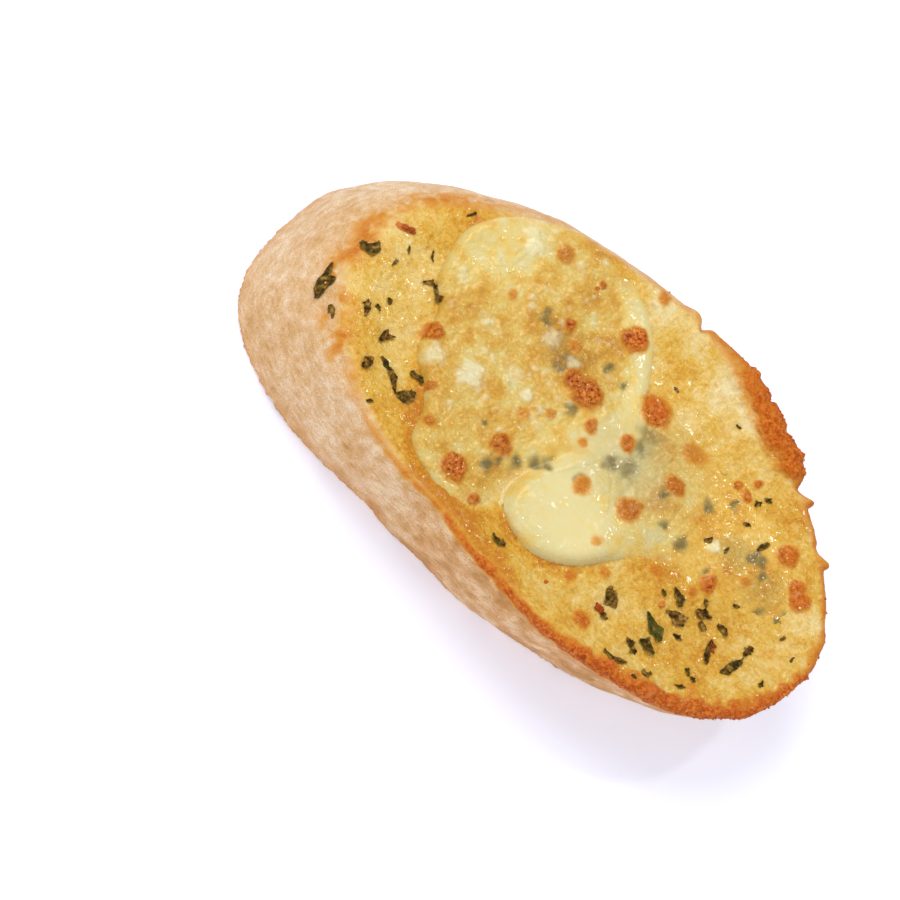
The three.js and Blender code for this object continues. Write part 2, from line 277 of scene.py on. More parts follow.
# Place, size and how far each one browned.
BLISTERS = [
    (4.1, 21.2, 5.5, 1), (5.1, 6, 6.2, 1), (1.8, 5.9, 4.4, 0.9), (16.1, 14.8, 6.6, 1),
    (1.3, -13.2, 4.7, 0.8), (-1.4, -23.2, 5.8, 1), (-5.9, 13.3, 3.0, 0.85), (-16.2, 22, 4.0, 0.55),
    (-2.4, 11.3, 3.3, 0.5), (9.9, 2.4, 3.0, 0.7), (10.9, -1.1, 2.5, 0.5), (-21.8, -7.9, 3.8, 0.85),
    (5.1, -24.2, 2.4, 0.85), (-17, 8.7, 2.8, 0.45), (-0.3, -6.1, 2.9, 0.4), (3.4, -2.2, 2.4, 0.45),
    (25.5, -3.4, 5.3, 0.7), (28.5, 7, 4.4, 0.7), (26.8, 14.7, 5.2, 0.5), (16.6, -7.3, 3.8, 0.55),
    (16.7, 5.3, 3.2, 0.75), (36.5, 17, 2.0, 0.95), (38.9, 16.7, 2.2, 0.95), (39.1, 20.1, 2.0, 0.85),
    (45.1, -1.2, 3.7, 1), (44.1, -4.6, 2.4, 0.7), (51.9, 14.3, 4.6, 0.95), (57.3, 11.1, 3.6, 1),
    (59.3, 9.7, 3.9, 1), (49.6, 4.3, 2.6, 0.55), (36.8, -6.9, 2.7, 0.6), (25.4, -12.6, 2.4, 0.4),
    (26.7, -20.2, 2.4, 0.65), (30.4, -14.9, 2.4, 0.55), (-14.7, -15.8, 2.4, 0.6), (-10.3, -20.7, 2.7, 0.6),
    (-7.5, 23.6, 1.7, 0.8), (26.5, -1.4, 2.0, 0.6), (2.3, 31.4, 3.3, 0.6), (33.6, -24.7, 3.6, 0.85),
]
CURDS = [
    (-23.2, 19.8, 3.2, 0.6), (-21.2, 18, 3.8, 0.7), (-11.5, -8.2, 4.9, 1), (-12.1, -9.7, 3.5, 1),
    (-18.8, -10.9, 4.4, 0.7), (-2, -3.1, 2.6, 1), (-16.6, 1.6, 2.4, 0.8), (-6.5, 8.6, 3.8, 0.6),
    (-0.6, 8, 2.6, 0.7), (-10.1, 26.9, 1.8, 0.6), (41.2, 4.4, 2.6, 0.9), (-6.3, -1.9, 3.6, 0.5),
    (1.3, -3.2, 1.9, 0.7),
]
# The last three are not leaves: they only draw the cheese a faint darker olive in broad patches.
SUNK_HERBS = [
    (-10.2, 10.5, 2.5), (-2, 8.1, 1.8), (4.6, 12.9, 2.2), (8.8, 12.8, 2), (-3.4, -12.4, 1.8),
    (5.1, 1.9, 2.2), (-1.7, 5.8, 2.2), (18.4, 10, 4.7), (18.7, 6.8, 3.3), (2, -17.7, 2.2),
    (2.9, -15.8, 1.6), (5.5, -13.2, 2.4), (8, -10.4, 2.5), (9.4, -8.9, 2.2), (20, 2.2, 3.6),
    (17.7, 0.6, 2.5), (15.6, -6.5, 2.2), (36.8, -0.2, 2.5), (43.2, 0.5, 1.5), (47.9, 9, 2.4),
    (49.8, 9.3, 2.2), (55.8, 2.4, 2.5), (59.7, 5.7, 2.5), (59.4, 4.3, 1.8), (35.6, 9.3, 2.2),
    (38.9, 13.8, 1.8), (28, 4.1, 2.2), (31.2, -18.4, 2.4), (33.4, 16.9, 1.5), (32.1, 0, 1.6),
    (51.6, 8.2, 1.8), (53, 6, 8), (45, 7, 7), (-3, 9, 8),
]

# Short shreds that stayed pale, over the left half of the upper slice: place, size and paleness.
SHRED_COUNT = 70
SHRED_RANGES = [(-27, 6), (-20, 24), (0.7, 2.0), (0.2, 0.6)]
shred_draw = np.random.default_rng(5)
SHREDS = [[shred_draw.uniform(*limits) for limits in SHRED_RANGES] for _ in range(SHRED_COUNT)]

upper_line = closed_curve(UPPER_EDGE, 12)
lower_line = closed_curve(LOWER_EDGE, 12)


def inside_cheese(places):
    """How far inside the outlines of the cheese each place is; outside both of them it is negative."""
    return np.maximum(edge_distance(places, upper_line), edge_distance(places, lower_line))


print("blisters:", len(BLISTERS), "curds:", len(CURDS), "sunken flakes:", len(SUNK_HERBS))

# %% [markdown]
# ## The bread, first as a smooth loaf slice
#
# A circle is extruded into a drum of many rings, and each ring is then drawn out to its place on the
# slice: up the wall, over the rounded edge and in across the top face. A voxel remesh turns that into
# even squares that can be sculpted, and the top gets squares of half the size, as the eye rests there.

# %% Rings of the slice
AROUND = 300
WALL_STEPS, EDGE_STEPS, FACE_STEPS = 12, 8, 26
CUT_BEVEL = 0.6


def wall_ring(angle, share):
    under = on_oval(UNDER_OVAL, angle, 0.0)
    top = on_oval(TOP_OVAL, angle, 0.0)
    return np.stack([lerp(under[0], top[0], share), lerp(under[1], top[1], share), THICKNESS * share], 1)


def edge_ring(angle, along):
    edge = edge_reach(angle)
    start = wall_ring(angle, 1 - edge / THICKNESS)
    corner = wall_ring(angle, np.ones_like(angle))
    end = np.stack([*on_oval(TOP_OVAL, angle, edge), np.full_like(angle, THICKNESS)], 1)
    back = 1 - along
    return back * back * start + 2 * back * along * corner + along * along * end


def crusted(points, angle, fade):
    share = points[:, 2] / THICKNESS
    belly = BELLY * np.sin(np.pi * np.clip(share, 0, 1))
    swell = 0.7 * field(points, 9.0) * smoothstep(share, 0.0, 0.1)
    ear = EAR_REACH * ear_share(angle) * smoothstep(share, 0.7, 0.95)
    out = fade * (belly + swell + ear)
    lift = EAR_RISE * ear_share(angle) * smoothstep(share, 0.8, 1.0)
    return points + np.stack([out * np.cos(angle), out * np.sin(angle), lift], 1)


def face_ring(angle, share):
    outline = oval_radius(TOP_OVAL, angle)
    radius = (outline - edge_reach(angle)) * share
    x, y = on_oval(TOP_OVAL, angle, outline - radius)
    lifted = EAR_RISE * ear_share(angle) * (1 - smoothstep(outline - radius, EAR_CREST, EAR_WIDTH))
    return np.stack([x, y, face_height(x, y) + lifted], 1)


def slice_ring(number, angle):
    """The points of one ring, counted from the underside's cut edge to the middle of the top."""
    if number == 0:
        return np.stack([*on_oval(UNDER_OVAL, angle, CUT_BEVEL), np.zeros_like(angle)], 1)
    if number <= WALL_STEPS:
        low, high = CUT_BEVEL / THICKNESS, 1 - edge_reach(angle) / THICKNESS
        return crusted(wall_ring(angle, lerp(low, high, (number - 1) / WALL_STEPS)), angle, 1.0)
    if number <= WALL_STEPS + EDGE_STEPS:
        along = (number - WALL_STEPS - 1) / EDGE_STEPS
        return crusted(edge_ring(angle, along), angle, 1 - 0.5 * along)
    share = 1 - (number - WALL_STEPS - EDGE_STEPS - 1) / FACE_STEPS
    return face_ring(angle, share)


# %% Extrude the drum and draw it out
RINGS = 1 + WALL_STEPS + EDGE_STEPS + FACE_STEPS
deselect_all()
bpy.ops.mesh.primitive_circle_add(vertices=AROUND, radius=MM, fill_type="NGON")
bread = bpy.context.object
bread.name = "toasted_bread"
bpy.ops.object.mode_set(mode="EDIT")
bpy.ops.mesh.select_all(action="SELECT")
for _ in range(RINGS - 1):
    bpy.ops.mesh.extrude_region_move(TRANSFORM_OT_translate={"value": (0, 0, MM)})
bpy.ops.mesh.poke()
bpy.ops.object.mode_set(mode="OBJECT")
drum = points_of(bread)
drum_angle = np.arctan2(drum[:, 1], drum[:, 0])
drum_ring = np.round(drum[:, 2]).astype(int)
drawn = drum.copy()
for number in range(RINGS):
    ring = (drum_ring == number) & (np.hypot(drum[:, 0], drum[:, 1]) > 0.5)
    drawn[ring] = slice_ring(number, drum_angle[ring])
poles = np.hypot(drum[:, 0], drum[:, 1]) < 0.5
drawn[poles] = [LEAN, 0.0, float(face_height(np.array([LEAN]), np.array([0.0]))[0])]
set_points(bread, drawn)
fix_normals(bread)
report(bread)

# %% Remesh, and give the top smaller squares
VOXEL = 0.64
TOP_STARTS = 17.8
COVERED = 2.0
apply_modifier(bread, "REMESH", mode="VOXEL", voxel_size=VOXEL * MM)
apply_modifier(bread, "SMOOTH", factor=0.5, iterations=2)
make_active(bread)
bpy.ops.object.mode_set(mode="EDIT")
bpy.ops.mesh.select_all(action="DESELECT")
bpy.ops.object.mode_set(mode="OBJECT")
middles = np.array([face.center for face in bread.data.polygons]) / MM
under_cheese = inside_cheese(middles[:, :2]) > COVERED
bread.data.polygons.foreach_set("select", (middles[:, 2] > TOP_STARTS) & ~under_cheese)
bpy.ops.object.mode_set(mode="EDIT")
bpy.ops.mesh.subdivide(number_cuts=1)
bpy.ops.object.mode_set(mode="OBJECT")
apply_modifier(bread, "SMOOTH", factor=0.5, iterations=2)
report(bread)

# %% [markdown]
# ## Sculpting the crust and the crumb
#
# Real crust is dry and smooth with shallow dents. The crumb is a sponge of pores, matted down by
# butter. The crest of the rim and the torn ear are rough and crisp. Each is a noise field of its own
# size, held to its own region by a soft mask, that moves the points along their normals. The masks are
# kept on the mesh, so that the colours follow the shapes.

# %% Regions of the bread
# The angle round the slice in degrees, where 0 is the toasted end, 90 the ear's side, 180 the rolled end
# and -90 the flat side, then how brown the rim is there, how far in that reaches, how tan the crust is
# and how far in the crumb starts.
ROUND_THE_SLICE = [
    (-180, 0, 2, 0.1, 3.2), (-150, 0, 2, 0.2, 2.6), (-125, 0.35, 2, 0.62, 1.0),
    (-105, 0.62, 1.8, 0.74, 0.7), (-85, 0.85, 1.8, 0.82, 0.8), (-60, 0.85, 2.4, 0.88, 1.0),
    (-45, 1.1, 4, 0.85, 1.2), (-32, 1.4, 5.6, 0.75, 1.2), (-18, 1.5, 5.2, 0.7, 1.2),
    (-6, 1.3, 4.4, 0.7, 1.2), (4, 0.75, 4, 0.7, 1.2), (16, 0.5, 2.6, 0.7, 1.2),
    (30, 0.5, 2.6, 0.75, 1.4), (38, 0.6, 3, 0.8, 2), (42, 1.05, 5, 0.8, 3.4), (60, 0.95, 4.4, 0.8, 3.2),
    (80, 0.7, 3.6, 0.65, 2.6), (97, 0.25, 3, 0.5, 1.2), (120, 0.05, 3, 0.3, 0.9),
    (150, 0, 3, 0.15, 1.8), (180, 0, 2, 0, 3.2),
]
ANGLES, RIM_BROWNING, RIM_REACH, CRUST_TAN, CRUMB_START = np.array(ROUND_THE_SLICE).T
# Broken bits of the crest, as places round the slice, how far they stand out and how wide they are.
BREAKS = [
    (91.5, -1.3, 1.6), (96.5, 0.7, 3.0), (34.8, 1.6, 1.0), (37.5, -0.7, 1.4), (22.0, 1.4, 0.9),
    (24.5, -0.5, 1.0), (46.0, 1.0, 1.3), (52.5, -0.5, 1.0), (62.0, -0.6, 0.8), (71.0, 0.5, 1.5),
    (-15.0, 0.6, 2.5), (8.0, 0.5, 2.0),
]


def read_round(values):
    return np.interp(degrees, ANGLES, values)


points = points_of(bread)
normals = normals_of(bread)
angle, inward = face_place(points[:, 0], points[:, 1])
degrees = np.degrees(angle)
ear = ear_share(angle)
height = points[:, 2]
spongy = field(points, 4.5, shift=5.0)
matted = field(points, 1.9, shift=9.0)
fine = field(points, 0.8, shift=2.0)
broad = field(points, 11.0, shift=6.0)
ragged_line = 1.1 * field(points, 5.0) + 0.6 * matted
blistered = round_spots(wandered(points[:, :2], 0.7, 3.0), BLISTERS, 0.12 * matted + 0.1 * fine)
upward = smoothstep(normals[:, 2], 0.2, 0.7) * smoothstep(height, 12.0, 15.5)
crumb_start = read_round(CRUMB_START) + ragged_line * lerp(0.5, 1.0, rolled_end(angle))
crumb_fade = lerp(1.1, 2.0, rolled_end(angle))
crumb = upward * smoothstep(inward, crumb_start - crumb_fade, crumb_start + crumb_fade)
under = smoothstep(-normals[:, 2], 0.5, 0.9) * (1 - smoothstep(height, 0.3, 1.2))
wall = 1 - np.maximum(crumb, under)
drop = THICKNESS - height
down_the_wall = lerp(0.4, 1.0, smoothstep(degrees, -95.0, -50.0))
outer_side = 1 - smoothstep(drop, 1.1 * down_the_wall, (3.4 + 0.8 * matted) * down_the_wall)
rim_reach = read_round(RIM_REACH)
inner_side = 1 - smoothstep(inward, 0.35 * rim_reach, rim_reach * (1 + 0.35 * spongy + 0.25 * matted))
rim_toast = read_round(RIM_BROWNING) * outer_side * inner_side
deepening = smoothstep(drop - 0.5 * inward + 0.5 * matted, -2.0, 1.6)
fringe = (1 - smoothstep(height, 0.3, 1.3 + 0.5 * matted)) * (1 - under)
print("crumb share", round(float(crumb.mean()), 2), "rim", round(float(rim_toast.mean()), 3))

# %% Relief of the bread
crisp = np.abs(field(points, 1.3, shift=1.0)) + 0.8 * np.abs(field(points, 0.65, shift=4.0))
near_cheese = inside_cheese(points[:, :2])
pressed = crumb * lerp(1.0, 0.3, smoothstep(near_cheese, 0.0, 2.0))
relief = pressed * (0.16 * spongy + 0.16 * matted + 0.16 * fine)
relief += crumb * smoothstep(blistered, 0.1, 0.9) * (0.4 + 0.3 * fine)
relief += wall * (1 - rim_toast) * (0.14 * field(points, 7.0) + 0.12 * spongy + 0.07 * matted + 0.03 * fine)
relief += rim_toast * (0.24 * crisp + 0.14 * matted + 0.06 * fine - 0.06)
relief += ear * smoothstep(6.0 - inward, 0.0, 2.5) * upward * (0.4 * crisp + 0.3 * matted)
relief += fringe * (0.1 + 0.45 * crisp)
relief -= under * smoothstep(np.abs(field(points, 3.0, shift=8.0)), 0.0, 0.5) * 0.15

# %% Pores
rng = np.random.default_rng(7)
tree = KDTree(len(points))
for index, point in enumerate(points):
    tree.insert(point, index)
tree.balance()


def pores(region, count, smallest, largest, depth):
    """Sinks round pits of random size where the region is strong, and returns how deep each point went."""
    sunk = np.zeros(len(points))
    centres = rng.choice(len(points), count, p=region / region.sum())
    sizes = smallest + (largest - smallest) * rng.random(count) ** 3
    for centre, size in zip(centres, sizes):
        for _, index, distance in tree.find_range(points[centre], size):
            pit = depth * size * (1 - (distance / size) ** 2)
            sunk[index] = max(sunk[index], pit)
    return sunk


open_crumb = lerp(0.3, 1.0, smoothstep(points[:, 0], 5.0, 35.0))
open_crumb *= lerp(0.5, 1.0, smoothstep(inward, 1.0, 4.0))
face_pores = pores(crumb * open_crumb + 1e-9, 2600, 0.3, 0.7, 0.35) * crumb
cut_pores = pores(under + 1e-9, 700, 0.8, 3.0, 0.5) * under
relief -= face_pores + cut_pores
relief[under > 0.5] = np.minimum(relief[under > 0.5], 0.0)
points = points + normals * relief[:, None]
outward = sum(reach * bell(degrees, place, wide) for place, reach, wide in BREAKS)
outward *= smoothstep(height, 14.0, 19.0) * (1 - smoothstep(inward, 0.5, 3.5))
points += outward[:, None] * np.stack([np.cos(angle), np.sin(angle), 0.3 * np.ones_like(angle)], 1)
points[:, 2] = np.maximum(points[:, 2], 0.0)
set_points(bread, points)
print("relief from", round(float(relief.min()), 2), "to", round(float(relief.max()), 2), "mm")

# %% Masks for the bread's colours
# Where the crumb took more butter or less, as places, how far they reach and how much more golden they are.
TONES = [
    (-17, -25, 7, 0.30), (-41, -9, 5, 0.25), (-30, -20, 5, 0.2), (3, 29, 5, -0.3), (13, 30.3, 3.5, -0.35),
    (22.1, 29.2, 3.5, -0.4), (30.2, 27, 4, -0.35), (16, 24.4, 5, 0.2), (63, 8, 4, -0.25),
    (64, -1.5, 7, -0.1), (33, -25, 4, 0.2), (-38, -3, 6, -0.1), (-33, 12, 8, 0.3), (47, 21, 4, 0.15),
    (-10, 29, 8, 0.25), (50, -1, 6, 0.16), (38, -8, 6, 0.2), (51, -14, 7, 0.16), (38, 8, 6, 0.2),
    (55, 5, 5, 0.14),
]


def crumb_gold(places):
    """How much butter the crumb took, from cream to deep gold. Thin cheese lets the same colour through."""
    level = np.c_[places, np.full(len(places), 20.0)]
    x, y = places.T
    amount = 0.44 + 0.24 * field(level, 11.0, shift=6.0) + 0.2 * field(level, 4.5, shift=5.0)
    amount += lerp(0.12, 0.17, smoothstep(x, 15.0, 35.0)) * field(level, 1.9, shift=9.0)
    amount += 0.1 * smoothstep(x, 15.0, 35.0)
    for tone_x, tone_y, reach, more in TONES:
        amount += more * np.exp(-((x - tone_x) ** 2 + (y - tone_y) ** 2) / reach**2)
    return amount


# The crumb is deeper gold down in the valley between the rim and the cheese: partly butter that ran there,
# partly painted shade of the hollow.
valley = bell(inward, 2.6, 2.6) * smoothstep(degrees, -135, -112) * (1 - smoothstep(degrees, -75, -48))
# The crumb is deeper gold just outside the cheese's lower edge: partly butter that pooled there, partly a
# painted shadow of the cheese's thick edge.
butter_pool_and_shadow = bell(near_cheese, -0.4, 1.9) * smoothstep(-points[:, 1], 8.0, 20.0)
butter_pool_and_shadow *= 1 - smoothstep(points[:, 0], 22.0, 34.0)
gold = crumb_gold(points[:, :2]) + 0.45 * valley + 0.36 * butter_pool_and_shadow - 0.12 * fine
patches = field(points * [1.0, 1.0, 0.8], 3.4, shift=3.0)
pale_side = bell(degrees, -128, 26) * smoothstep(height, 3.0, 9.0)
mottles = field(points * [1.0, 1.0, 0.6], 1.5, shift=12.0)
near_side = smoothstep(degrees, -150.0, -100.0) * (1 - smoothstep(degrees, -20.0, 10.0))
flour = 0.5 + lerp(0.2, 0.8, near_side) * patches + lerp(0.2, 0.5, near_side) * mottles
flour += 0.15 * broad + 0.2 * pale_side
soft_end = np.maximum(smoothstep(-degrees, 136, 154), smoothstep(degrees, 140, 165))
soft_end *= smoothstep(height, 10.0, 15.0)
rolled_band = bell(inward, crumb_start - 1.2 + spongy, 2.3) * soft_end
rolled_toast = rolled_band * smoothstep(patches + 0.8 * spongy + 0.7 * matted + 0.5 * fine, -0.7, 0.6) * 0.6
crumb_toast = crumb * smoothstep(broad + 0.6 * spongy + 0.5 * matted, 0.3, 0.75) * 0.16
crumb_toast *= 1 - 0.8 * smoothstep(points[:, 1], 8.0, 18.0)
toast = rim_toast * (0.4 + 0.85 * deepening + 0.3 * matted + 0.3 * crisp)
toast += rolled_toast + crumb_toast + 0.45 * fringe
ear_toast = 0.95 * smoothstep(ear, 0.12, 0.7) * upward
ear_toast *= 1 - smoothstep(inward, lerp(0.3, 1.4, ear), lerp(3.6, 6.0, ear))
toast = np.maximum(toast, ear_toast * (0.6 + 0.2 * ear + 0.7 * crisp + 0.35 * matted))
toast = np.maximum(toast, 0.9 * blistered * upward)
paint(bread, "crumb", np.maximum(crumb, under))
paint(bread, "toast", toast + 0.22 * under)
paint(bread, "gold", gold * (1 - under) + 0.3 * under)
# Painted shade: the depth of each pore, so that the crumb is drawn darker down in it.
paint(bread, "pore_shade", (face_pores + cut_pores) / 0.45)
paint(bread, "flour", flour)
tan = wall * (read_round(CRUST_TAN) + 0.25 * bell(height, 1.5, 3.0))
tan *= 0.85 + lerp(0.4, 1.0, near_side) * patches + lerp(0.3, 0.8, near_side) * mottles
paint(bread, "tan", tan)
make_active(bread)
bpy.ops.object.shade_smooth()
report(bread)

# %% Coordinates for streaks in the crust
# They run about twice as slow round the slice as up its wall, so that a texture on them is drawn out.
ROUND_SPEED = 0.45
across = points[:, 0] - LEAN * height / THICKNESS
flow = np.c_[ROUND_SPEED * across, ROUND_SPEED * points[:, 1], height + np.maximum(inward, 0.0)]
flow_layer = bread.data.attributes.new("flow", "FLOAT_VECTOR", "POINT")
flow_layer.data.foreach_set("vector", (flow * MM).astype(np.float32).ravel())
print("flow coordinates up to", round(float(flow.max()), 1), "mm")

# %% [markdown]
# ## Rounded blobs of melted cheese
#
# Melted cheese is a thin sheet that follows what it lies on and ends in a rounded bead. A flat grid is
# trimmed to the slice's outline and extruded once, which gives it an underside and an edge. The top
# is then lifted by one thickness that both slices share, so that they flow into each other.

# %% Thickness of the cheese
GRID_STEP = 0.31
SHEET_SINK, SHEET_UNDERSIDE = 0.45, 1.3
SHEET_THICK, EDGE_THICK, FILM_THICK = 1.4, 2.2, 0.5
BEAD_WIDTH, FEATHER_WIDTH = 2.2, 8.0


def blend_over(low, high, reach):
    """The larger of two values, rounded off where they are close."""
    share = np.clip(0.5 + 0.5 * (high - low) / reach, 0, 1)
    return lerp(low, high, share) + reach * share * (1 - share)


def cheese_cover(places):
    """How far inside each slice of cheese and both together each place is, and where the edge is steep."""
    upper_in = edge_distance(places, upper_line)
    lower_in = edge_distance(places, lower_line)
    inside = blend_over(upper_in, lower_in, 3.0)
    x, y = places.T
    steep_upper = smoothstep(-(0.8 * (x + 7) + 0.5 * (y - 1)) / 22, 0.0, 0.7)
    steep_lower = smoothstep(-(0.5 * (x - 30) + 0.9 * (y + 2)) / 16, 0.1, 0.8)
    steep = lerp(steep_lower, steep_upper, smoothstep(upper_in - lower_in, -3.0, 3.0))
    film = smoothstep(x + 0.35 * y, 28.0, 44.0)
    return upper_in, lower_in, inside, steep, film


def cheese_blank(name, line):
    """A flat closed sheet of the line's shape, one unit thick, made of squares of the grid's step."""
    low, high = line.min(0) - 1, line.max(0) + 1
    steps = np.ceil((high - low) / GRID_STEP).astype(int)
    deselect_all()
    bpy.ops.mesh.primitive_grid_add(x_subdivisions=int(steps[0]), y_subdivisions=int(steps[1]), size=MM)
    piece = bpy.context.object
    piece.name = name
    flat = points_of(piece)
    flat[:, :2] = low + (flat[:, :2] + 0.5) * (high - low)
    set_points(piece, flat)
    distance = edge_distance(flat[:, :2], line)
    bpy.ops.object.mode_set(mode="EDIT")
    bpy.ops.mesh.select_mode(type="VERT")
    bpy.ops.mesh.select_all(action="DESELECT")
    bpy.ops.object.mode_set(mode="OBJECT")
    for vertex, far in zip(piece.data.vertices, distance < -0.55 * GRID_STEP):
        vertex.select = bool(far)
    bpy.ops.object.mode_set(mode="EDIT")
    bpy.ops.mesh.delete(type="VERT")
    bpy.ops.mesh.select_all(action="SELECT")
    bpy.ops.mesh.extrude_region_move(TRANSFORM_OT_translate={"value": (0, 0, MM)})
    bpy.ops.object.mode_set(mode="OBJECT")
    fix_normals(piece)
    return piece


# %% Marks that the shape and the colours of the cheese share
def cheese_marks(places):
    """At each place the noise, how browned it is, and which parts stayed pale, smooth or grated."""
    x, y = places.T
    level = np.c_[places, np.zeros(len(places))]
    marks = SimpleNamespace(places=places)
    marks.upper_in, marks.lower_in, marks.inside, marks.steep, marks.film = cheese_cover(places)
    marks.uneven, marks.small = field(level, 1.6, shift=1.0), field(level, 0.7, shift=7.0)
    marks.soft, marks.clumps = field(level, 6.0, shift=4.0), field(level, 2.6, shift=2.0)
    marks.lumps = np.abs(field(level * [1.0, 1.5, 1.0], 2.3, shift=3.0))
    marks.lumps += 0.5 * np.abs(field(level, 1.1, shift=6.0))
    marks.brown = round_spots(wandered(places, 0.7, 3.0), BLISTERS, 0.12 * marks.uneven + 0.1 * marks.small)
    wander = 0.20 * marks.uneven + 0.12 * marks.small
    curds = round_spots(wandered(places, 0.9, 2.0), CURDS, wander)
    marks.curd = np.maximum(curds, round_spots(places, SHREDS, wander))
    marks.lobe = bell(x, 19.0, 12.0) * bell(y, -14.0, 10.0) * (1 - smoothstep(marks.upper_in, -1.0, 2.5))
    marks.right_rim = smoothstep(x, -8.0, 4.0) * smoothstep(y, 2.0, 8.0)
    marks.right_rim *= smoothstep(marks.upper_in, -1.0, 0.0)
    marks.right_rim *= 1 - smoothstep(marks.upper_in + 1.5 * marks.uneven, 3.5, 7.5)
    marks.meeting = bell(x - 0.2 * y, 13.0, 6.0) * smoothstep(y, -19.0, -8.0) * (1 - smoothstep(y, 2.0, 9.0))
    marks.smooth_corner = bell(x, -25.0, 8.0) * bell(y, 14.0, 9.0)
    marks.grated = (1 - 0.5 * marks.film) * (1 - marks.lobe) * (1 - 0.8 * marks.right_rim)
    marks.grated *= (1 - 0.6 * marks.smooth_corner) * (1 - 0.8 * marks.meeting)
    marks.steep = np.maximum(marks.steep, 0.75 * marks.right_rim)
    return marks


# %% Melt the cheese over the crumb
def melt(piece, is_upper):
    sheet = points_of(piece)
    marks = cheese_marks(sheet[:, :2].copy())
    thick = lerp(SHEET_THICK, EDGE_THICK, np.maximum(marks.lobe, marks.steep * (1 - 0.8 * marks.right_rim)))
    thick = lerp(thick, FILM_THICK, marks.film)
    bead = (1 - (1 - np.clip(marks.inside / BEAD_WIDTH, 0, 1)) ** 2) ** lerp(0.8, 0.5, marks.lobe)
    feather = smoothstep(marks.inside, 0.0, FEATHER_WIDTH) ** 0.7
    marks.rounded = lerp(feather, bead, np.maximum(marks.steep, marks.lobe) * (1 - marks.film))
    blister = smoothstep(marks.brown, 0.1, 0.9) * (0.5 + 0.25 * marks.uneven + 0.28 * marks.small)
    lift = marks.rounded * (thick + SHEET_SINK + 0.3 * marks.soft * np.minimum(thick, 1.2))
    lift += marks.rounded * marks.grated * (0.65 * marks.lumps - 0.2 + 0.2 * marks.small)
    lift += (0.4 + 0.6 * marks.rounded) * blister + 0.35 * marks.rounded * smoothstep(marks.curd, 0.1, 0.8)
    lift += 0.05 * marks.rounded * marks.small * (1 - 0.8 * marks.lobe)
    if is_upper:
        lift -= 0.9 * smoothstep(marks.lower_in, 0.1, 0.8) * (1 - smoothstep(marks.upper_in, 0.0, 1.2))
    else:
        lift -= 0.9 * smoothstep(marks.upper_in, 1.6, 2.8) + 0.02
    ground = face_height(*marks.places.T)
    top = sheet[:, 2] > 0.5
    sheet[:, 2] = np.where(top, ground - SHEET_SINK + lift, ground - SHEET_UNDERSIDE)
    set_points(piece, sheet)
    return marks


# %% Paint the cheese
def paint_cheese(piece, marks):
    x, y = marks.places.T
    level = np.c_[marks.places, np.zeros(len(x))]
    leaves = [(leaf_x, leaf_y, 1.3 * size, min(0.95, 2.6 / size)) for leaf_x, leaf_y, size in SUNK_HERBS]
    herb = round_spots(wandered(marks.places, 1.3, 2.2), leaves, 0.3 * marks.uneven, soft=1.2)
    golden = 0.52 + 0.42 * marks.soft + 0.34 * marks.clumps + 0.3 * bell(x, -1.0, 9.0) * bell(y, 9.0, 9.0)
    golden += 0.06 * bell(x, -14.0, 10.0) * bell(y, -12.0, 12.0) - 0.3 * marks.smooth_corner
    golden -= 0.9 * marks.lobe + 0.42 * marks.right_rim + 0.4 * marks.meeting
    green = bell(x, 18.0, 9.0) * bell(y, 2.0, 8.0) * (1 - marks.lobe) * smoothstep(marks.lower_in, -2.0, 3.0)
    feathered = (1 - marks.rounded) * (1 - marks.steep) * (1 - marks.lobe)
    paint(piece, "toast", 0.95 * marks.brown)
    paint(piece, "curd", 0.85 * marks.curd)
    paint(piece, "herb", herb * smoothstep(marks.inside, 0.3, 2.4))
    paint(piece, "gold", golden)
    paint(piece, "beneath", crumb_gold(marks.places) - 0.12 * field(level, 0.8, shift=2.0))
    paint(piece, "green", green)
    paint(piece, "thin", np.maximum(marks.film * (0.85 + 0.4 * marks.uneven), feathered))
    paint(piece, "grated", marks.grated)
    make_active(piece)
    bpy.ops.object.shade_smooth_by_angle(angle=math.radians(65))
    report(piece)


# %% Make both slices of cheese
upper = cheese_blank("upper_cheese", upper_line)
lower = cheese_blank("lower_cheese", lower_line)
paint_cheese(upper, melt(upper, True))
paint_cheese(lower, melt(lower, False))

# %% [markdown]
# ## Parsley
#
# Dried parsley is torn leaf: thin, folded and curled, no two alike. Each flake is a small grid whose
# sides are pulled to a torn outline, folded along its rib, curled, and laid on the crumb.

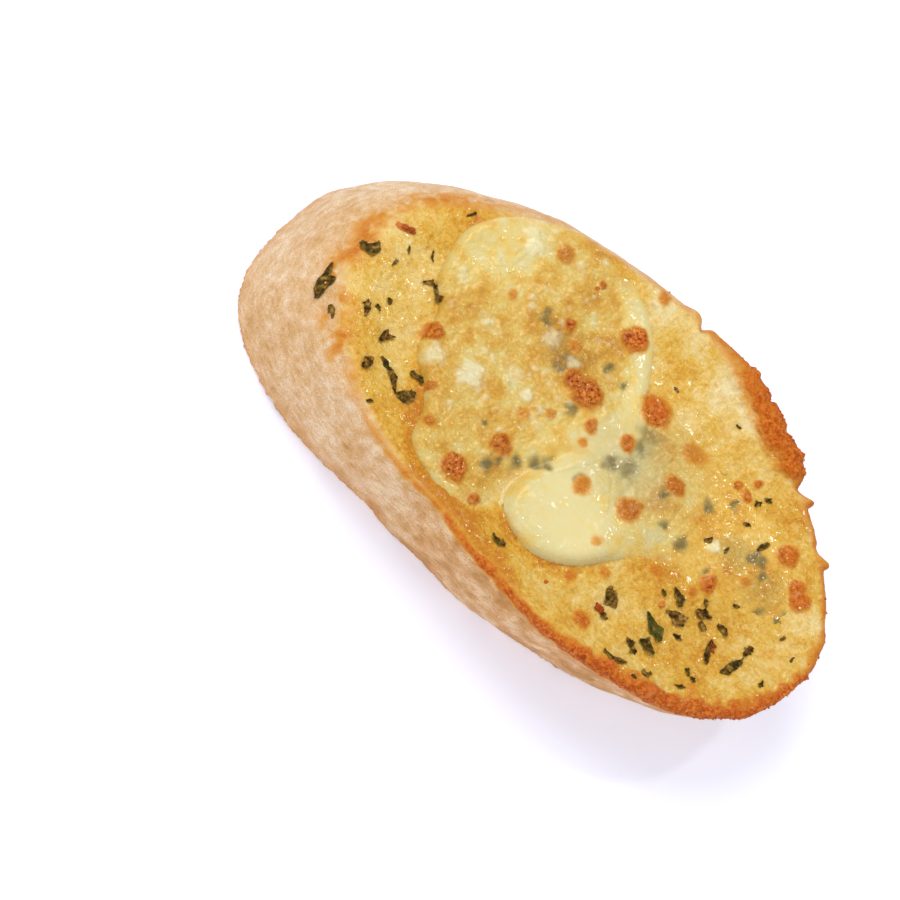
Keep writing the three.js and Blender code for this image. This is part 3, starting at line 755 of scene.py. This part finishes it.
# %% Where the parsley fell: place, length, width and turn in degrees
FLAKES = [
    (-41.5, -16.3, 7.4, 2.6, 115), (-40.7, -5.9, 3.6, 3.4, 65), (-35.5, -4.5, 1.6, 0.6, 85),
    (-35.6, -0.6, 1.6, 0.5, 135), (-32, 2.5, 2.1, 0.6, 135), (-28.6, -1.5, 2.6, 1.4, 30),
    (-26.6, -1.8, 3.6, 1.3, 155), (-32.8, -14.8, 3.3, 1.8, 125), (-31.4, -12.8, 1.4, 0.8, 155),
    (-31, -10.1, 1.3, 0.8, 145), (-36.4, -20, 2.6, 1.5, 150), (-26.5, -15.2, 3.3, 1.8, 60),
    (-25.3, -21.8, 3, 2, 90), (-22.9, -18.9, 3.5, 1.2, 175), (-19.9, -20.2, 4.6, 1.5, 145),
    (-16.5, -20.1, 3.8, 2.4, 60), (-17.6, -16.1, 3, 1, 10), (-33, 13.4, 2.1, 0.6, 70),
    (-20, -26.6, 1.2, 0.6, 50), (13.3, -26.2, 3, 1.5, 180), (34.7, -17.2, 3.9, 2.6, 160),
    (36, -20.6, 1.7, 1.1, 170), (43.7, -14.8, 5.8, 2.9, 155), (45.3, -10.6, 4.2, 2.6, 5),
    (43.1, -7.4, 3.6, 1.8, 150), (48.1, -12.6, 1.9, 1.7, 5), (40.7, -8.9, 1.2, 0.8, 5),
    (48.6, -5.7, 3.2, 1.7, 20), (47.5, -3.9, 1.7, 0.9, 140), (50, -7.6, 1.8, 1.6, 15),
    (53, -5, 2.5, 2.1, 10), (43.1, -20.8, 3.2, 1.9, 165), (45.3, -18.6, 3.6, 1.9, 0),
    (42.4, -25.2, 4.8, 1, 20), (48.4, -22.5, 1.9, 1.5, 50), (47.2, -25, 1.2, 0.6, 20),
    (53.8, -10.3, 4.8, 1.1, 120), (58.8, -8.8, 5.6, 1.7, 80), (58.9, -4.4, 2.5, 1.7, 90),
    (53.6, -16.2, 1.5, 0.9, 160), (55.1, -16.6, 1.2, 0.8, 165), (54.2, -19.6, 2, 0.7, 30),
    (64.4, -7.5, 1.5, 0.8, 105), (65.5, 0.3, 1.3, 0.6, 100), (61.8, 2.3, 1.2, 0.6, 80),
    (42.7, 12.7, 1.5, 0.9, 25), (43.3, 6, 1.5, 0.5, 95), (39.6, 4.8, 1.9, 0.8, 70),
    (41.5, 17.4, 1.6, 1.1, 75), (42.4, 19.3, 1.5, 0.9, 5), (47.7, 11.8, 2.8, 1.4, 75),
    (51.8, 0.3, 1.3, 1, 25), (16, 21.3, 1.2, 0.5, 175), (28.8, 24.9, 1.2, 0.5, 10),
]
GREENEST = 22
ALONG, ACROSS = 14, 7

# %% Tear, fold and lay the flakes
deselect_all()
bpy.ops.mesh.primitive_grid_add(x_subdivisions=ALONG, y_subdivisions=ACROSS, size=MM)
sheet = bpy.context.object
grid = points_of(sheet)
grid_faces = np.array([list(face.vertices) for face in sheet.data.polygons])
bpy.data.objects.remove(sheet)
scene_now = bpy.context.evaluated_depsgraph_get()
grounds = [BVHTree.FromObject(piece, scene_now) for piece in (bread, upper, lower)]


def ground_height(x, y):
    """The highest of the bread and the cheeses under a place."""
    start = Vector((x * MM, y * MM, 0.05))
    hits = [tree.ray_cast(start, Vector((0, 0, -1)))[0] for tree in grounds]
    return max((hit.z / MM for hit in hits if hit), default=THICKNESS)


def turned(flat, turn):
    """Places turned about the origin by an angle in radians."""
    cosine, sine = math.cos(turn), math.sin(turn)
    return np.stack([flat[:, 0] * cosine - flat[:, 1] * sine, flat[:, 0] * sine + flat[:, 1] * cosine], 1)


def torn_flake(number, x, y, length, width, turn):
    draw = np.random.default_rng(300 + number)
    along = grid[:, 0] + 0.5
    side = 2 * grid[:, 1]
    knots = [0.0, *np.sort(draw.uniform(0.1, 0.9, 4)), 1.0]
    least, most = [0.0, 0.4, 0.5, 0.4, 0.2, 0.0], [0.5, 1.1, 1.4, 1.4, 1.1, 0.25]
    left = np.interp(along, knots, draw.uniform(least, most))
    right = np.interp(along, knots, draw.uniform(least, most))
    half = np.where(side > 0, left, right) * width / 2
    bow = draw.uniform(-0.5, 0.5) * length * ((along - 0.5) ** 2 - 0.12)
    shear = draw.uniform(-0.5, 0.5)
    flat = np.stack([(along - 0.5) * length + shear * side * half, side * half + bow], 1)
    flat += draw.normal(0, 0.07, flat.shape) * (np.abs(side) > 0.9)[:, None]
    fold, curl, twist = draw.uniform(0.15, 0.7), draw.uniform(-0.1, 0.25), draw.uniform(-0.5, 0.5)
    rise = fold * np.abs(side * half) + 0.5 * curl * length * (2 * along - 1) ** 2
    rise += twist * (along - 0.5) * side * half
    rise += 0.22 * field(np.c_[flat, np.full(len(flat), 9.0 * number)], 0.9)
    placed = turned(flat, math.radians(turn)) + [x, y]
    ground = np.array([ground_height(*place) for place in placed])
    ground = lerp(ground, ground.mean(), 0.4)
    rise = np.clip(rise - rise.min(), 0, 1.3)
    return np.c_[placed, np.maximum(ground + 0.1 + rise, ground + 0.1)], np.abs(side)


laid = [torn_flake(number, *flake) for number, flake in enumerate(FLAKES)]
parsley_mesh = bpy.data.meshes.new("parsley")
step = len(grid)
faces = np.concatenate([grid_faces + step * number for number in range(len(laid))])
parsley_mesh.from_pydata(np.concatenate([shape for shape, _ in laid]) * MM, [], faces.tolist())
parsley = bpy.data.objects.new("parsley", parsley_mesh)
bpy.context.scene.collection.objects.link(parsley)
paint(parsley, "rim", np.concatenate([side for _, side in laid]))
green_tone = rng.random(len(laid)) * 0.55
green_tone[GREENEST] = 1.0
paint(parsley, "green", np.repeat(green_tone, step))
apply_modifier(parsley, "SOLIDIFY", thickness=0.13 * MM, offset=-1.0)
bpy.ops.object.shade_smooth_by_angle(angle=math.radians(28))
report(parsley)

# %% [markdown]
# ## Burnt crumbs and beads of butter
#
# Loose crumbs stuck to the butter and burnt. Smaller grains broke off along the toasted rim. Butter
# that could not soak in stands in tiny beads, which are what sparkles in the light.

# %% Scatter small lumps over a surface
def lump_seed(roundness):
    deselect_all()
    bpy.ops.mesh.primitive_ico_sphere_add(subdivisions=roundness, radius=MM)
    ball = bpy.context.object
    shape = points_of(ball)
    seed_faces = np.array([list(face.vertices) for face in ball.data.polygons])
    bpy.data.objects.remove(ball)
    return shape, seed_faces


def scatter(name, places, radii, squash, rough, roundness, smooth=True, long=1.0):
    """One mesh of many small lumps; each has its own radius, and its own shade as an attribute."""
    seed, seed_faces = lump_seed(roundness)
    draw = np.random.default_rng(len(places))
    lumps = []
    for place, radius in zip(places, radii):
        dented = seed * (1 + rough * field(seed + 7.0 * draw.random(3), 0.7)[:, None])
        spread = dented * np.array([draw.uniform(0.8, 1.25) * long, draw.uniform(0.75, 1.1), squash]) * radius
        lumps.append(place + np.c_[turned(spread[:, :2], draw.uniform(0, math.pi)), spread[:, 2]])
    mesh = bpy.data.meshes.new(name)
    joined = np.concatenate([seed_faces + len(seed) * number for number in range(len(lumps))])
    mesh.from_pydata(np.concatenate(lumps) * MM, [], joined.tolist())
    piece = bpy.data.objects.new(name, mesh)
    bpy.context.scene.collection.objects.link(piece)
    paint(piece, "shade", np.repeat(draw.random(len(lumps)), len(seed)))
    make_active(piece)
    if smooth:
        bpy.ops.object.shade_smooth()
    report(piece)
    return piece


def chosen(piece, weights, count):
    """Random points of a piece, taken more often where the weight is high."""
    spots = rng.choice(len(weights), count, p=weights / weights.sum(), replace=False)
    return points_of(piece)[spots]


# %% Burnt crumbs
BURNT = [
    (34.5, -20.3, 0.85), (51.2, -24.6, 0.95), (41.9, -10.6, 0.45), (38.4, -29.6, 0.5), (-39.8, 1.2, 0.55),
    (-38.9, 1.6, 0.6), (-38.0, 2.0, 0.7), (53.6, -8.6, 0.5), (54.2, -9.4, 0.4), (-7.6, 22.2, 0.4),
    (24.5, -24.5, 0.35),
]
burnt_places = [(x, y, ground_height(x, y) + 0.35 * radius) for x, y, radius in BURNT]
burnt_radii = [radius for _, _, radius in BURNT]
burnt = scatter("burnt_crumbs", np.array(burnt_places), burnt_radii, 0.75, 0.7, 4, long=1.3)

# %% Toasted grains along the rim
GRAINS = 160
rim_weight = (rim_toast * deepening) ** 2 * smoothstep(points[:, 2], 17.0, 20.0)
rim_weight *= 1 - 0.85 * smoothstep(-degrees, 60.0, 100.0)
grain_places = chosen(bread, rim_weight, GRAINS)
grain_radii = 0.1 + 0.15 * rng.random(len(grain_places)) ** 2
grains = scatter("toasted_grains", grain_places, grain_radii, 0.7, 0.9, 2, smooth=False, long=1.3)

# %% Beads of butter
BEAD_GROUNDS = [(bread, crumb * smoothstep(inward, 1.5, 4.0), 260),
                (upper, smoothstep(normals_of(upper)[:, 2], 0.4, 0.8), 260),
                (lower, smoothstep(points_of(lower)[:, 0], 20.0, 34.0), 130)]
bead_places = np.concatenate([chosen(piece, weight + 1e-9, count) for piece, weight, count in BEAD_GROUNDS])
bead_radii = 0.10 + 0.14 * rng.random(len(bead_places)) ** 2
beads = scatter("butter_beads", bead_places, bead_radii, 0.6, 0.1, 2)

# %% [markdown]
# ## Materials
#
# Food has few colours and many shades of each. So every material here is built alike: a value that was
# painted on the piece, made uneven by noise as coarse as the real grains, picks a colour from a row of
# stops, and other colours are laid over it where masks allow, as browning and soaking do. One function
# turns the usual hex colours to the linear numbers that Blender mixes, and one adds a node with its
# settings and links. Starch, fat and leaf all bend light much like oil, so one index serves for all.

# %% Colour and node helpers
def linear(hex_colour):
    channels = [int(hex_colour[i:i + 2], 16) / 255 for i in (1, 3, 5)]
    return [c / 12.92 if c <= 0.04045 else ((c + 0.055) / 1.055) ** 2.4 for c in channels] + [1.0]


def new_material(name):
    material = bpy.data.materials.new(name)
    material.use_nodes = True
    material.node_tree.nodes.clear()
    return material


def add_node(material, kind, inputs=None, stops=None, **settings):
    """Adds a node, sets its settings, and links or fills its inputs."""
    node = material.node_tree.nodes.new(kind)
    for name, value in settings.items():
        setattr(node, name, value)
    if stops:
        ramp = node.color_ramp.elements
        while len(ramp) < len(stops):
            ramp.new(0.5)
        for element, (position, colour) in zip(ramp, stops):
            element.position = position
            element.color = linear(colour)
    for name, value in (inputs or {}).items():
        if isinstance(value, bpy.types.NodeSocket):
            material.node_tree.links.new(value, node.inputs[name])
        else:
            node.inputs[name].default_value = value
    return node


# %% Patterns made of several nodes
def texture(material, size, detail=3.0, roughness=0.6, stretch=(1.0, 1.0, 1.0), place=None):
    """Noise with lumps of about this many millimetres, on the object's own coordinates or on others."""
    place = place or add_node(material, "ShaderNodeTexCoord").outputs["Object"]
    scaled = add_node(material, "ShaderNodeMapping", {"Vector": place, "Scale": stretch}).outputs[0]
    inputs = {"Vector": scaled, "Scale": 1 / (size * MM), "Detail": detail, "Roughness": roughness}
    return add_node(material, "ShaderNodeTexNoise", inputs).outputs["Fac"]


def painted(material, name, none=0.0, full=1.0):
    """What was painted on the piece under this name, where 0 and 1 may stand for two other values."""
    inputs = {"To Min": none, "To Max": full}
    inputs["Value"] = add_node(material, "ShaderNodeAttribute", attribute_name=name).outputs["Fac"]
    return add_node(material, "ShaderNodeMapRange", inputs, clamp=False).outputs[0]


def sums(material, first, *terms):
    """A value plus others, each times a weight and with half taken off, so that noise adds no brightness."""
    total = first
    for value, weight in terms:
        inputs = {0: value, 1: weight, 2: -0.5 * weight}
        scaled = add_node(material, "ShaderNodeMath", inputs, operation="MULTIPLY_ADD").outputs[0]
        total = add_node(material, "ShaderNodeMath", {0: total, 1: scaled}, operation="ADD").outputs[0]
    return total


def where_all(material, amount, *parts):
    """An amount cut down by each part: a value, or a value and the limits between which it rises to all."""
    for part in parts:
        if isinstance(part, tuple):
            inputs = dict(zip(("Value", "From Min", "From Max"), part))
            rising = add_node(material, "ShaderNodeMapRange", inputs, interpolation_type="SMOOTHSTEP")
            part = rising.outputs[0]
        amount = add_node(material, "ShaderNodeMath", {0: amount, 1: part}, operation="MULTIPLY").outputs[0]
    return amount


def varied(material, amount, noise_value, weight):
    """An amount that noise makes more or less by up to half the weight, as a share of itself."""
    inputs = {0: noise_value, 1: weight, 2: 1 - 0.5 * weight}
    share = add_node(material, "ShaderNodeMath", inputs, operation="MULTIPLY_ADD").outputs[0]
    return where_all(material, amount, share)


def graded(material, stops, first, *terms):
    """The colour that a row of stops gives for a sum of values."""
    return add_node(material, "ShaderNodeValToRGB", {"Fac": sums(material, first, *terms)}, stops).outputs[0]


def layered(material, base, *layers):
    """Lays colours over a base, each as strong as its mask."""
    for amount, colour in layers:
        inputs = {"Factor": amount, "A": base, "B": linear(colour) if isinstance(colour, str) else colour}
        base = add_node(material, "ShaderNodeMix", inputs, data_type="RGBA").outputs["Result"]
    return base


# %% Browning and the last nodes
def browned(material, colour, burn, blistered_share):
    """Browning: golden, orange, red-brown, and on blisters painted shade and painted highlights."""
    skin = texture(material, 0.8, 5.0, 0.7)
    # Painted shade in the dips of the blister's bump, and painted highlights on its ridges.
    crevice_shade = where_all(material, 0.95 * blistered_share, (burn, 0.5, 0.9), (skin, 0.48, 0.39))
    crest_highlights = where_all(material, 0.85 * blistered_share, (burn, 0.4, 0.8), (skin, 0.5, 0.59))
    stages = [(0.85, 0.0, 0.4, "#e0962a"), (1.0, 0.3, 0.8, "#dc7616"), (1.0, 0.75, 1.2, "#c4500a"),
              (1.0, 1.15, 1.6, "#942c06")]
    baked = [(where_all(material, most, (burn, low, high)), shade) for most, low, high, shade in stages]
    # The dark brown is painted shade, and the light orange is a painted highlight.
    colour = layered(material, colour, *baked, (crevice_shade, "#8c2c04"), (crest_highlights, "#f4a848"))
    return colour, where_all(material, skin, (burn, 0.3, 0.9))


def oiled(material, burn, moist, *wet):
    """How much a surface shines, less where it is baked dry, and its clear coat of oil where it is wet."""
    inputs = {"Value": burn, "From Max": 0.8, "To Min": moist, "To Max": 0.2}
    shine = add_node(material, "ShaderNodeMapRange", inputs).outputs[0]
    return shine, where_all(material, shine, *wet)


def finish(material, colour, roughness, height, bump, soft, depth, coat=0.0, specular=0.25):
    """The last nodes of each material: bump height in mm, and how far light goes in, also in mm."""
    normal = add_node(material, "ShaderNodeBump", {"Height": height, "Strength": 1.0, "Distance": bump * MM})
    shader = add_node(material, "ShaderNodeBsdfPrincipled", {
        "Base Color": colour, "Roughness": roughness, "Normal": normal.outputs[0], "IOR": 1.45,
        "Subsurface Weight": soft, "Subsurface Radius": (1.0, 0.6, 0.3), "Subsurface Scale": depth * MM,
        "Coat Weight": coat, "Coat Roughness": 0.1, "Specular IOR Level": specular})
    add_node(material, "ShaderNodeOutputMaterial", {"Surface": shader.outputs[0]})
    return material


# %% [markdown]
# ### Toasted bread
#
# The crust of a soft baguette is starch and protein that dried to a pale, dull skin, floury in patches,
# tan between them, and finely cracked. The loaf was rolled, so the skin is drawn out round it, and its
# streaks and cracks read the flow coordinates. Flour is finer than the picture can show, so its specks
# are drawn at 0.24 mm. The crumb soaked up butter, so it is golden and glossy, with painted shade down
# in its pores. Heat browned what stood highest, first golden, then orange, then red-brown.

# %% Crumb and crust colours
CRUMB = [(0.0, "#f2dfa8"), (0.3, "#edcc7a"), (0.55, "#e6b84a"), (0.8, "#da9c2a"), (1.0, "#cc7e1a")]
FLOURY_CRUST = [(0.0, "#c48a42"), (0.4, "#deb178"), (0.65, "#e7c496"), (1.0, "#f8e8d0")]
BAKED_CRUST = [(0.0, "#bc7830"), (0.5, "#dc9a50"), (1.0, "#f0ca94")]
# How large the lumps of each pattern are, in millimetres.
GRAIN, SPECK, SPONGE, STREAK, CRACK = 0.5, 0.24, 1.1, 0.8, 1.9


def crumb_noise(material):
    """Three noises: the grain, its specks, and the sponge of the crumb, squeezed across the slice."""
    sponge = texture(material, SPONGE, stretch=(1.0, 1.35, 1.0))
    return texture(material, GRAIN, 4.0, 0.7), texture(material, SPECK, 2.0), sponge


def crumb_colour(material, amount, grain, speck, sponge):
    return graded(material, CRUMB, amount, (grain, 0.95), (speck, 0.5), (sponge, 0.6))


def crust_colour(material, grain, speck, streaks, crackle):
    """Floury skin, baked tan where it is painted so, with fine cracks and a dust of flour."""
    flour, uneven = painted(material, "flour"), [(grain, 0.7), (speck, 0.7), (streaks, 1.1)]
    tan = varied(material, painted(material, "tan"), grain, 1.2)
    dust = where_all(material, 0.45, (speck, 0.5, 0.64), (flour, 0.2, 0.8))
    return layered(material, graded(material, FLOURY_CRUST, flour, *uneven),
                   (tan, graded(material, BAKED_CRUST, flour, *uneven)),
                   (where_all(material, 0.3, crackle), "#b87434"), (dust, "#f8ead6"))


# %% Bread material
def bread_material():
    material = new_material("toasted baguette")
    grain, speck, sponge = crumb_noise(material)
    flow = add_node(material, "ShaderNodeAttribute", attribute_name="flow").outputs["Vector"]
    streaks, cracks = texture(material, STREAK, 4.0, 0.62, place=flow), texture(material, CRACK, place=flow)
    crackle = where_all(material, painted(material, "tan"), (cracks, 0.455, 0.5), (cracks, 0.545, 0.5))
    crumb = crumb_colour(material, painted(material, "gold"), grain, speck, sponge)
    # Painted shade: the crumb is drawn darker where its pores are deep.
    crumb = layered(material, crumb, (painted(material, "pore_shade", 0.0, 0.4), "#c07c1c"))
    is_crumb, is_skin = painted(material, "crumb"), painted(material, "crumb", 1.0, 0.0)
    colour = layered(material, crust_colour(material, grain, speck, streaks, crackle), (is_crumb, crumb))
    burn = varied(material, painted(material, "toast"), grain, 1.6)
    colour, blistery = browned(material, colour, burn, 0.45)
    relief = sums(material, grain, (speck, 0.5), (where_all(material, is_crumb, sponge), 0.8),
                  (where_all(material, is_skin, streaks), 1.2), (where_all(material, is_skin, crackle), -0.4),
                  (blistery, 0.7))
    shine, oil = oiled(material, burn, 0.25, is_crumb)
    roughness = painted(material, "crumb", 0.5, 0.36)
    return finish(material, colour, roughness, relief, 0.3, 0.12, 0.6, coat=oil, specular=shine)


bread.data.materials.append(bread_material())

# %% [markdown]
# ### Melted cheese
#
# Melted cheese is a smooth, slightly see-through gel with oil on it. Where bubbles rose they browned,
# where it is thin the gold of the crumb shows, in the crumb's own colours, and where it was grated it
# stays grainy. Leaves that sank in are seen through it, so they are blurred and pale.

# %% Cheese material
CHEESE = [(0.0, "#e0d296"), (0.35, "#e7c86c"), (0.65, "#e0ae42"), (1.0, "#cc8e24")]
CLOUD = 2.2


def cheese_material(name):
    material = new_material(name)
    grain, speck, sponge = crumb_noise(material)
    cloud = texture(material, CLOUD, 4.0, 0.65)
    grated = painted(material, "grated")
    grainy = where_all(material, grated, sums(material, 0.0, (grain, 1.2)))
    golden = add_node(material, "ShaderNodeMath", {0: painted(material, "gold"), 1: grainy}).outputs[0]
    film = crumb_colour(material, painted(material, "beneath"), grain, speck, sponge)
    colour = layered(
        material, graded(material, CHEESE, golden, (cloud, 0.8)),
        (where_all(material, 0.55, grated, (grain, 0.6, 0.7)), "#f2e6b4"),
        (varied(material, painted(material, "green"), cloud, 1.4), "#d0c28a"),
        (where_all(material, 1.0, (painted(material, "thin"), 0.1, 0.9)), film),
        (where_all(material, painted(material, "herb"), (cloud, 0.1, 0.5)), "#7c6c38"),
        (painted(material, "curd"), "#f4ecc0"))
    burn = varied(material, painted(material, "toast"), grain, 1.6)
    colour, blistery = browned(material, colour, burn, 1.0)
    coarse, roughness = painted(material, "grated", 0.04, 1.0), painted(material, "grated", 0.38, 0.34)
    relief = sums(material, where_all(material, coarse, sums(material, grain, (speck, 0.5))), (blistery, 1.3))
    shine, oil = oiled(material, burn, 0.3, 1.4, (grated, -0.15, 0.5))
    return finish(material, colour, roughness, relief, 0.36, 0.25, 0.8, coat=oil, specular=shine)


upper.data.materials.append(cheese_material("browned grated cheese"))
lower.data.materials.append(cheese_material("melted cheese"))

# %% [markdown]
# ### Baked parsley, burnt crumbs, butter
#
# Dried leaf is dark olive where it stayed under the butter and brown where it baked, and dull. Its torn
# edges are drawn lighter, partly the leaf's own paler edge and partly a painted highlight. Crumbs run
# from gold to dark brown. Butter is a clear yellow oil.

# %% Parsley, crumb and butter materials
LEAF = [(0.36, "#2a1804"), (0.46, "#523408"), (0.56, "#7a5218"), (0.7, "#b08c48")]


def parsley_material():
    material = new_material("baked parsley leaf")
    vein, blotch = texture(material, 0.5, 4.0, 0.7), texture(material, 1.2, 2.0)
    fresh = where_all(material, painted(material, "green"), (vein, 0.3, 0.7))
    # The torn edges are drawn lighter: partly the leaf's own paler edge, partly a painted highlight.
    torn_edge_and_highlight = sums(material, painted(material, "rim"), (vein, 1.2))
    colour = layered(material, graded(material, LEAF, blotch, (vein, 0.5)), (fresh, "#465418"),
                     (where_all(material, 0.6, (torn_edge_and_highlight, 0.75, 1.3)), "#ac8a44"))
    return finish(material, colour, 0.45, vein, 0.25, 0.0, 0.1, specular=0.12)


def crumb_material(name, light, middle, dark):
    material = new_material(name)
    grain = texture(material, 0.4)
    stops = [(0.0, dark), (0.5, middle), (1.0, light)]
    colour = graded(material, stops, painted(material, "shade"), (grain, 0.6))
    return finish(material, colour, 0.45, grain, 0.3, 0.1, 0.3)


def butter_material():
    material = new_material("melted butter")
    haze = texture(material, 0.5)
    colour = graded(material, [(0.3, "#e9c873"), (0.7, "#f3dfa0")], haze)
    return finish(material, colour, 0.06, haze, 0.01, 0.3, 0.4, coat=1.0)


parsley.data.materials.append(parsley_material())
burnt.data.materials.append(crumb_material("burnt crumb", "#e08a40", "#c86420", "#9c400c"))
grains.data.materials.append(crumb_material("toasted crumb", "#e2943c", "#cc6a1c", "#a0420c"))
beads.data.materials.append(butter_material())
for piece in (bread, upper, lower, parsley, burnt, grains, beads):
    print(f"{piece.active_material.name}: {len(piece.active_material.node_tree.nodes)} nodes")

# %% [markdown]
# ## Floor, light and camera
#
# Food like this is shown on white paper in soft daylight, which keeps its yellows clean. The paper gives
# off a little light of its own, as if the whole room were bright. A large window stands behind on the
# left, two reflectors fill the shaded sides, and a small lamp gives the butter its sparks. The slice lies
# flat, so the camera looks down on it from well above, with a long lens, and is turned until the slice
# runs slantwise across the picture.

# %% Floor
deselect_all()
bpy.ops.mesh.primitive_plane_add(size=6.0)
floor = bpy.context.object
floor.name = "floor"
paper = new_material("white paper")
paper_shader = add_node(paper, "ShaderNodeBsdfPrincipled", {
    "Base Color": linear("#ecf0ff"), "Roughness": 0.9,
    "Emission Color": linear("#ebeaff"), "Emission Strength": 0.3})
add_node(paper, "ShaderNodeOutputMaterial", {"Surface": paper_shader.outputs[0]})
floor.data.materials.append(paper)
print("floor:", round(floor.dimensions.x, 1), "m across")

# %% Light
# Each light's place and side are in metres, and its power is in watts.
LIGHTS = {"window": ((-0.24, 0.14, 0.48), 0.3, 1.55), "left reflector": ((-0.24, -0.42, 0.28), 0.5, 1.05),
          "right reflector": ((0.42, -0.15, 0.3), 0.5, 0.5), "lamp": ((0.1, 0.3, 0.5), 0.04, 0.4)}
ROOM_LIGHT = 0.42

world = bpy.data.worlds.new("studio")
bpy.context.scene.world = world
world.use_nodes = True
room = world.node_tree.nodes["Background"].inputs
room["Color"].default_value = (1.0, 1.0, 1.0, 1.0)
room["Strength"].default_value = ROOM_LIGHT
bpy.context.scene.view_settings.view_transform = "Standard"
for name, (place, side, power) in LIGHTS.items():
    deselect_all()
    bpy.ops.object.light_add(type="AREA", location=place)
    light = bpy.context.object
    light.name = name
    light.data.size = side
    light.data.energy = power
    light.rotation_euler = (-Vector(place)).to_track_quat("-Z", "Y").to_euler()
    print(name, "light:", round(light.data.energy, 2), "W")

# %% Camera
ELEVATION, ROLL = math.radians(66), math.radians(47.4)
TARGET, DISTANCE = Vector((-4.1, -17.4, 12.0)), 451.75
LENS, FILM = 100.0, 36.0

back = Vector((0, -math.cos(ELEVATION), math.sin(ELEVATION)))
right = Vector((1, 0, 0))
up = back.cross(right)
image_right = math.cos(ROLL) * right + math.sin(ROLL) * up
image_up = math.cos(ROLL) * up - math.sin(ROLL) * right
facing = Matrix((image_right, image_up, back)).transposed().to_4x4()
bpy.ops.object.camera_add()
camera = bpy.context.object
camera.data.lens = LENS
camera.data.sensor_width = FILM
camera.matrix_world = Matrix.Translation((TARGET + back * DISTANCE) * MM) @ facing
bpy.context.scene.camera = camera
print("camera in mm:", [round(v / MM, 1) for v in camera.matrix_world.translation])

# %% [markdown]
# ## One body for every piece
#
# Nothing on the slice moves, so every piece rides on its one body. Three pieces stand for the solids of
# the engineering model, which stay for collision.

# %% Put the pieces on the body
PIECES = [(bread, "bread_slice", "toasted_bread"), (upper, "cheese_upper", "browned_cheese"),
          (lower, "cheese_lower", "melted_cheese"), (parsley, None, "toasted_bread"),
          (burnt, None, "toasted_bread"), (grains, None, "toasted_bread"), (beads, None, "melted_cheese")]
for piece, node, slot in PIECES:
    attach(piece, "root")
    if node:
        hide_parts(node)
    print(piece.name, "has the finish of", slot)
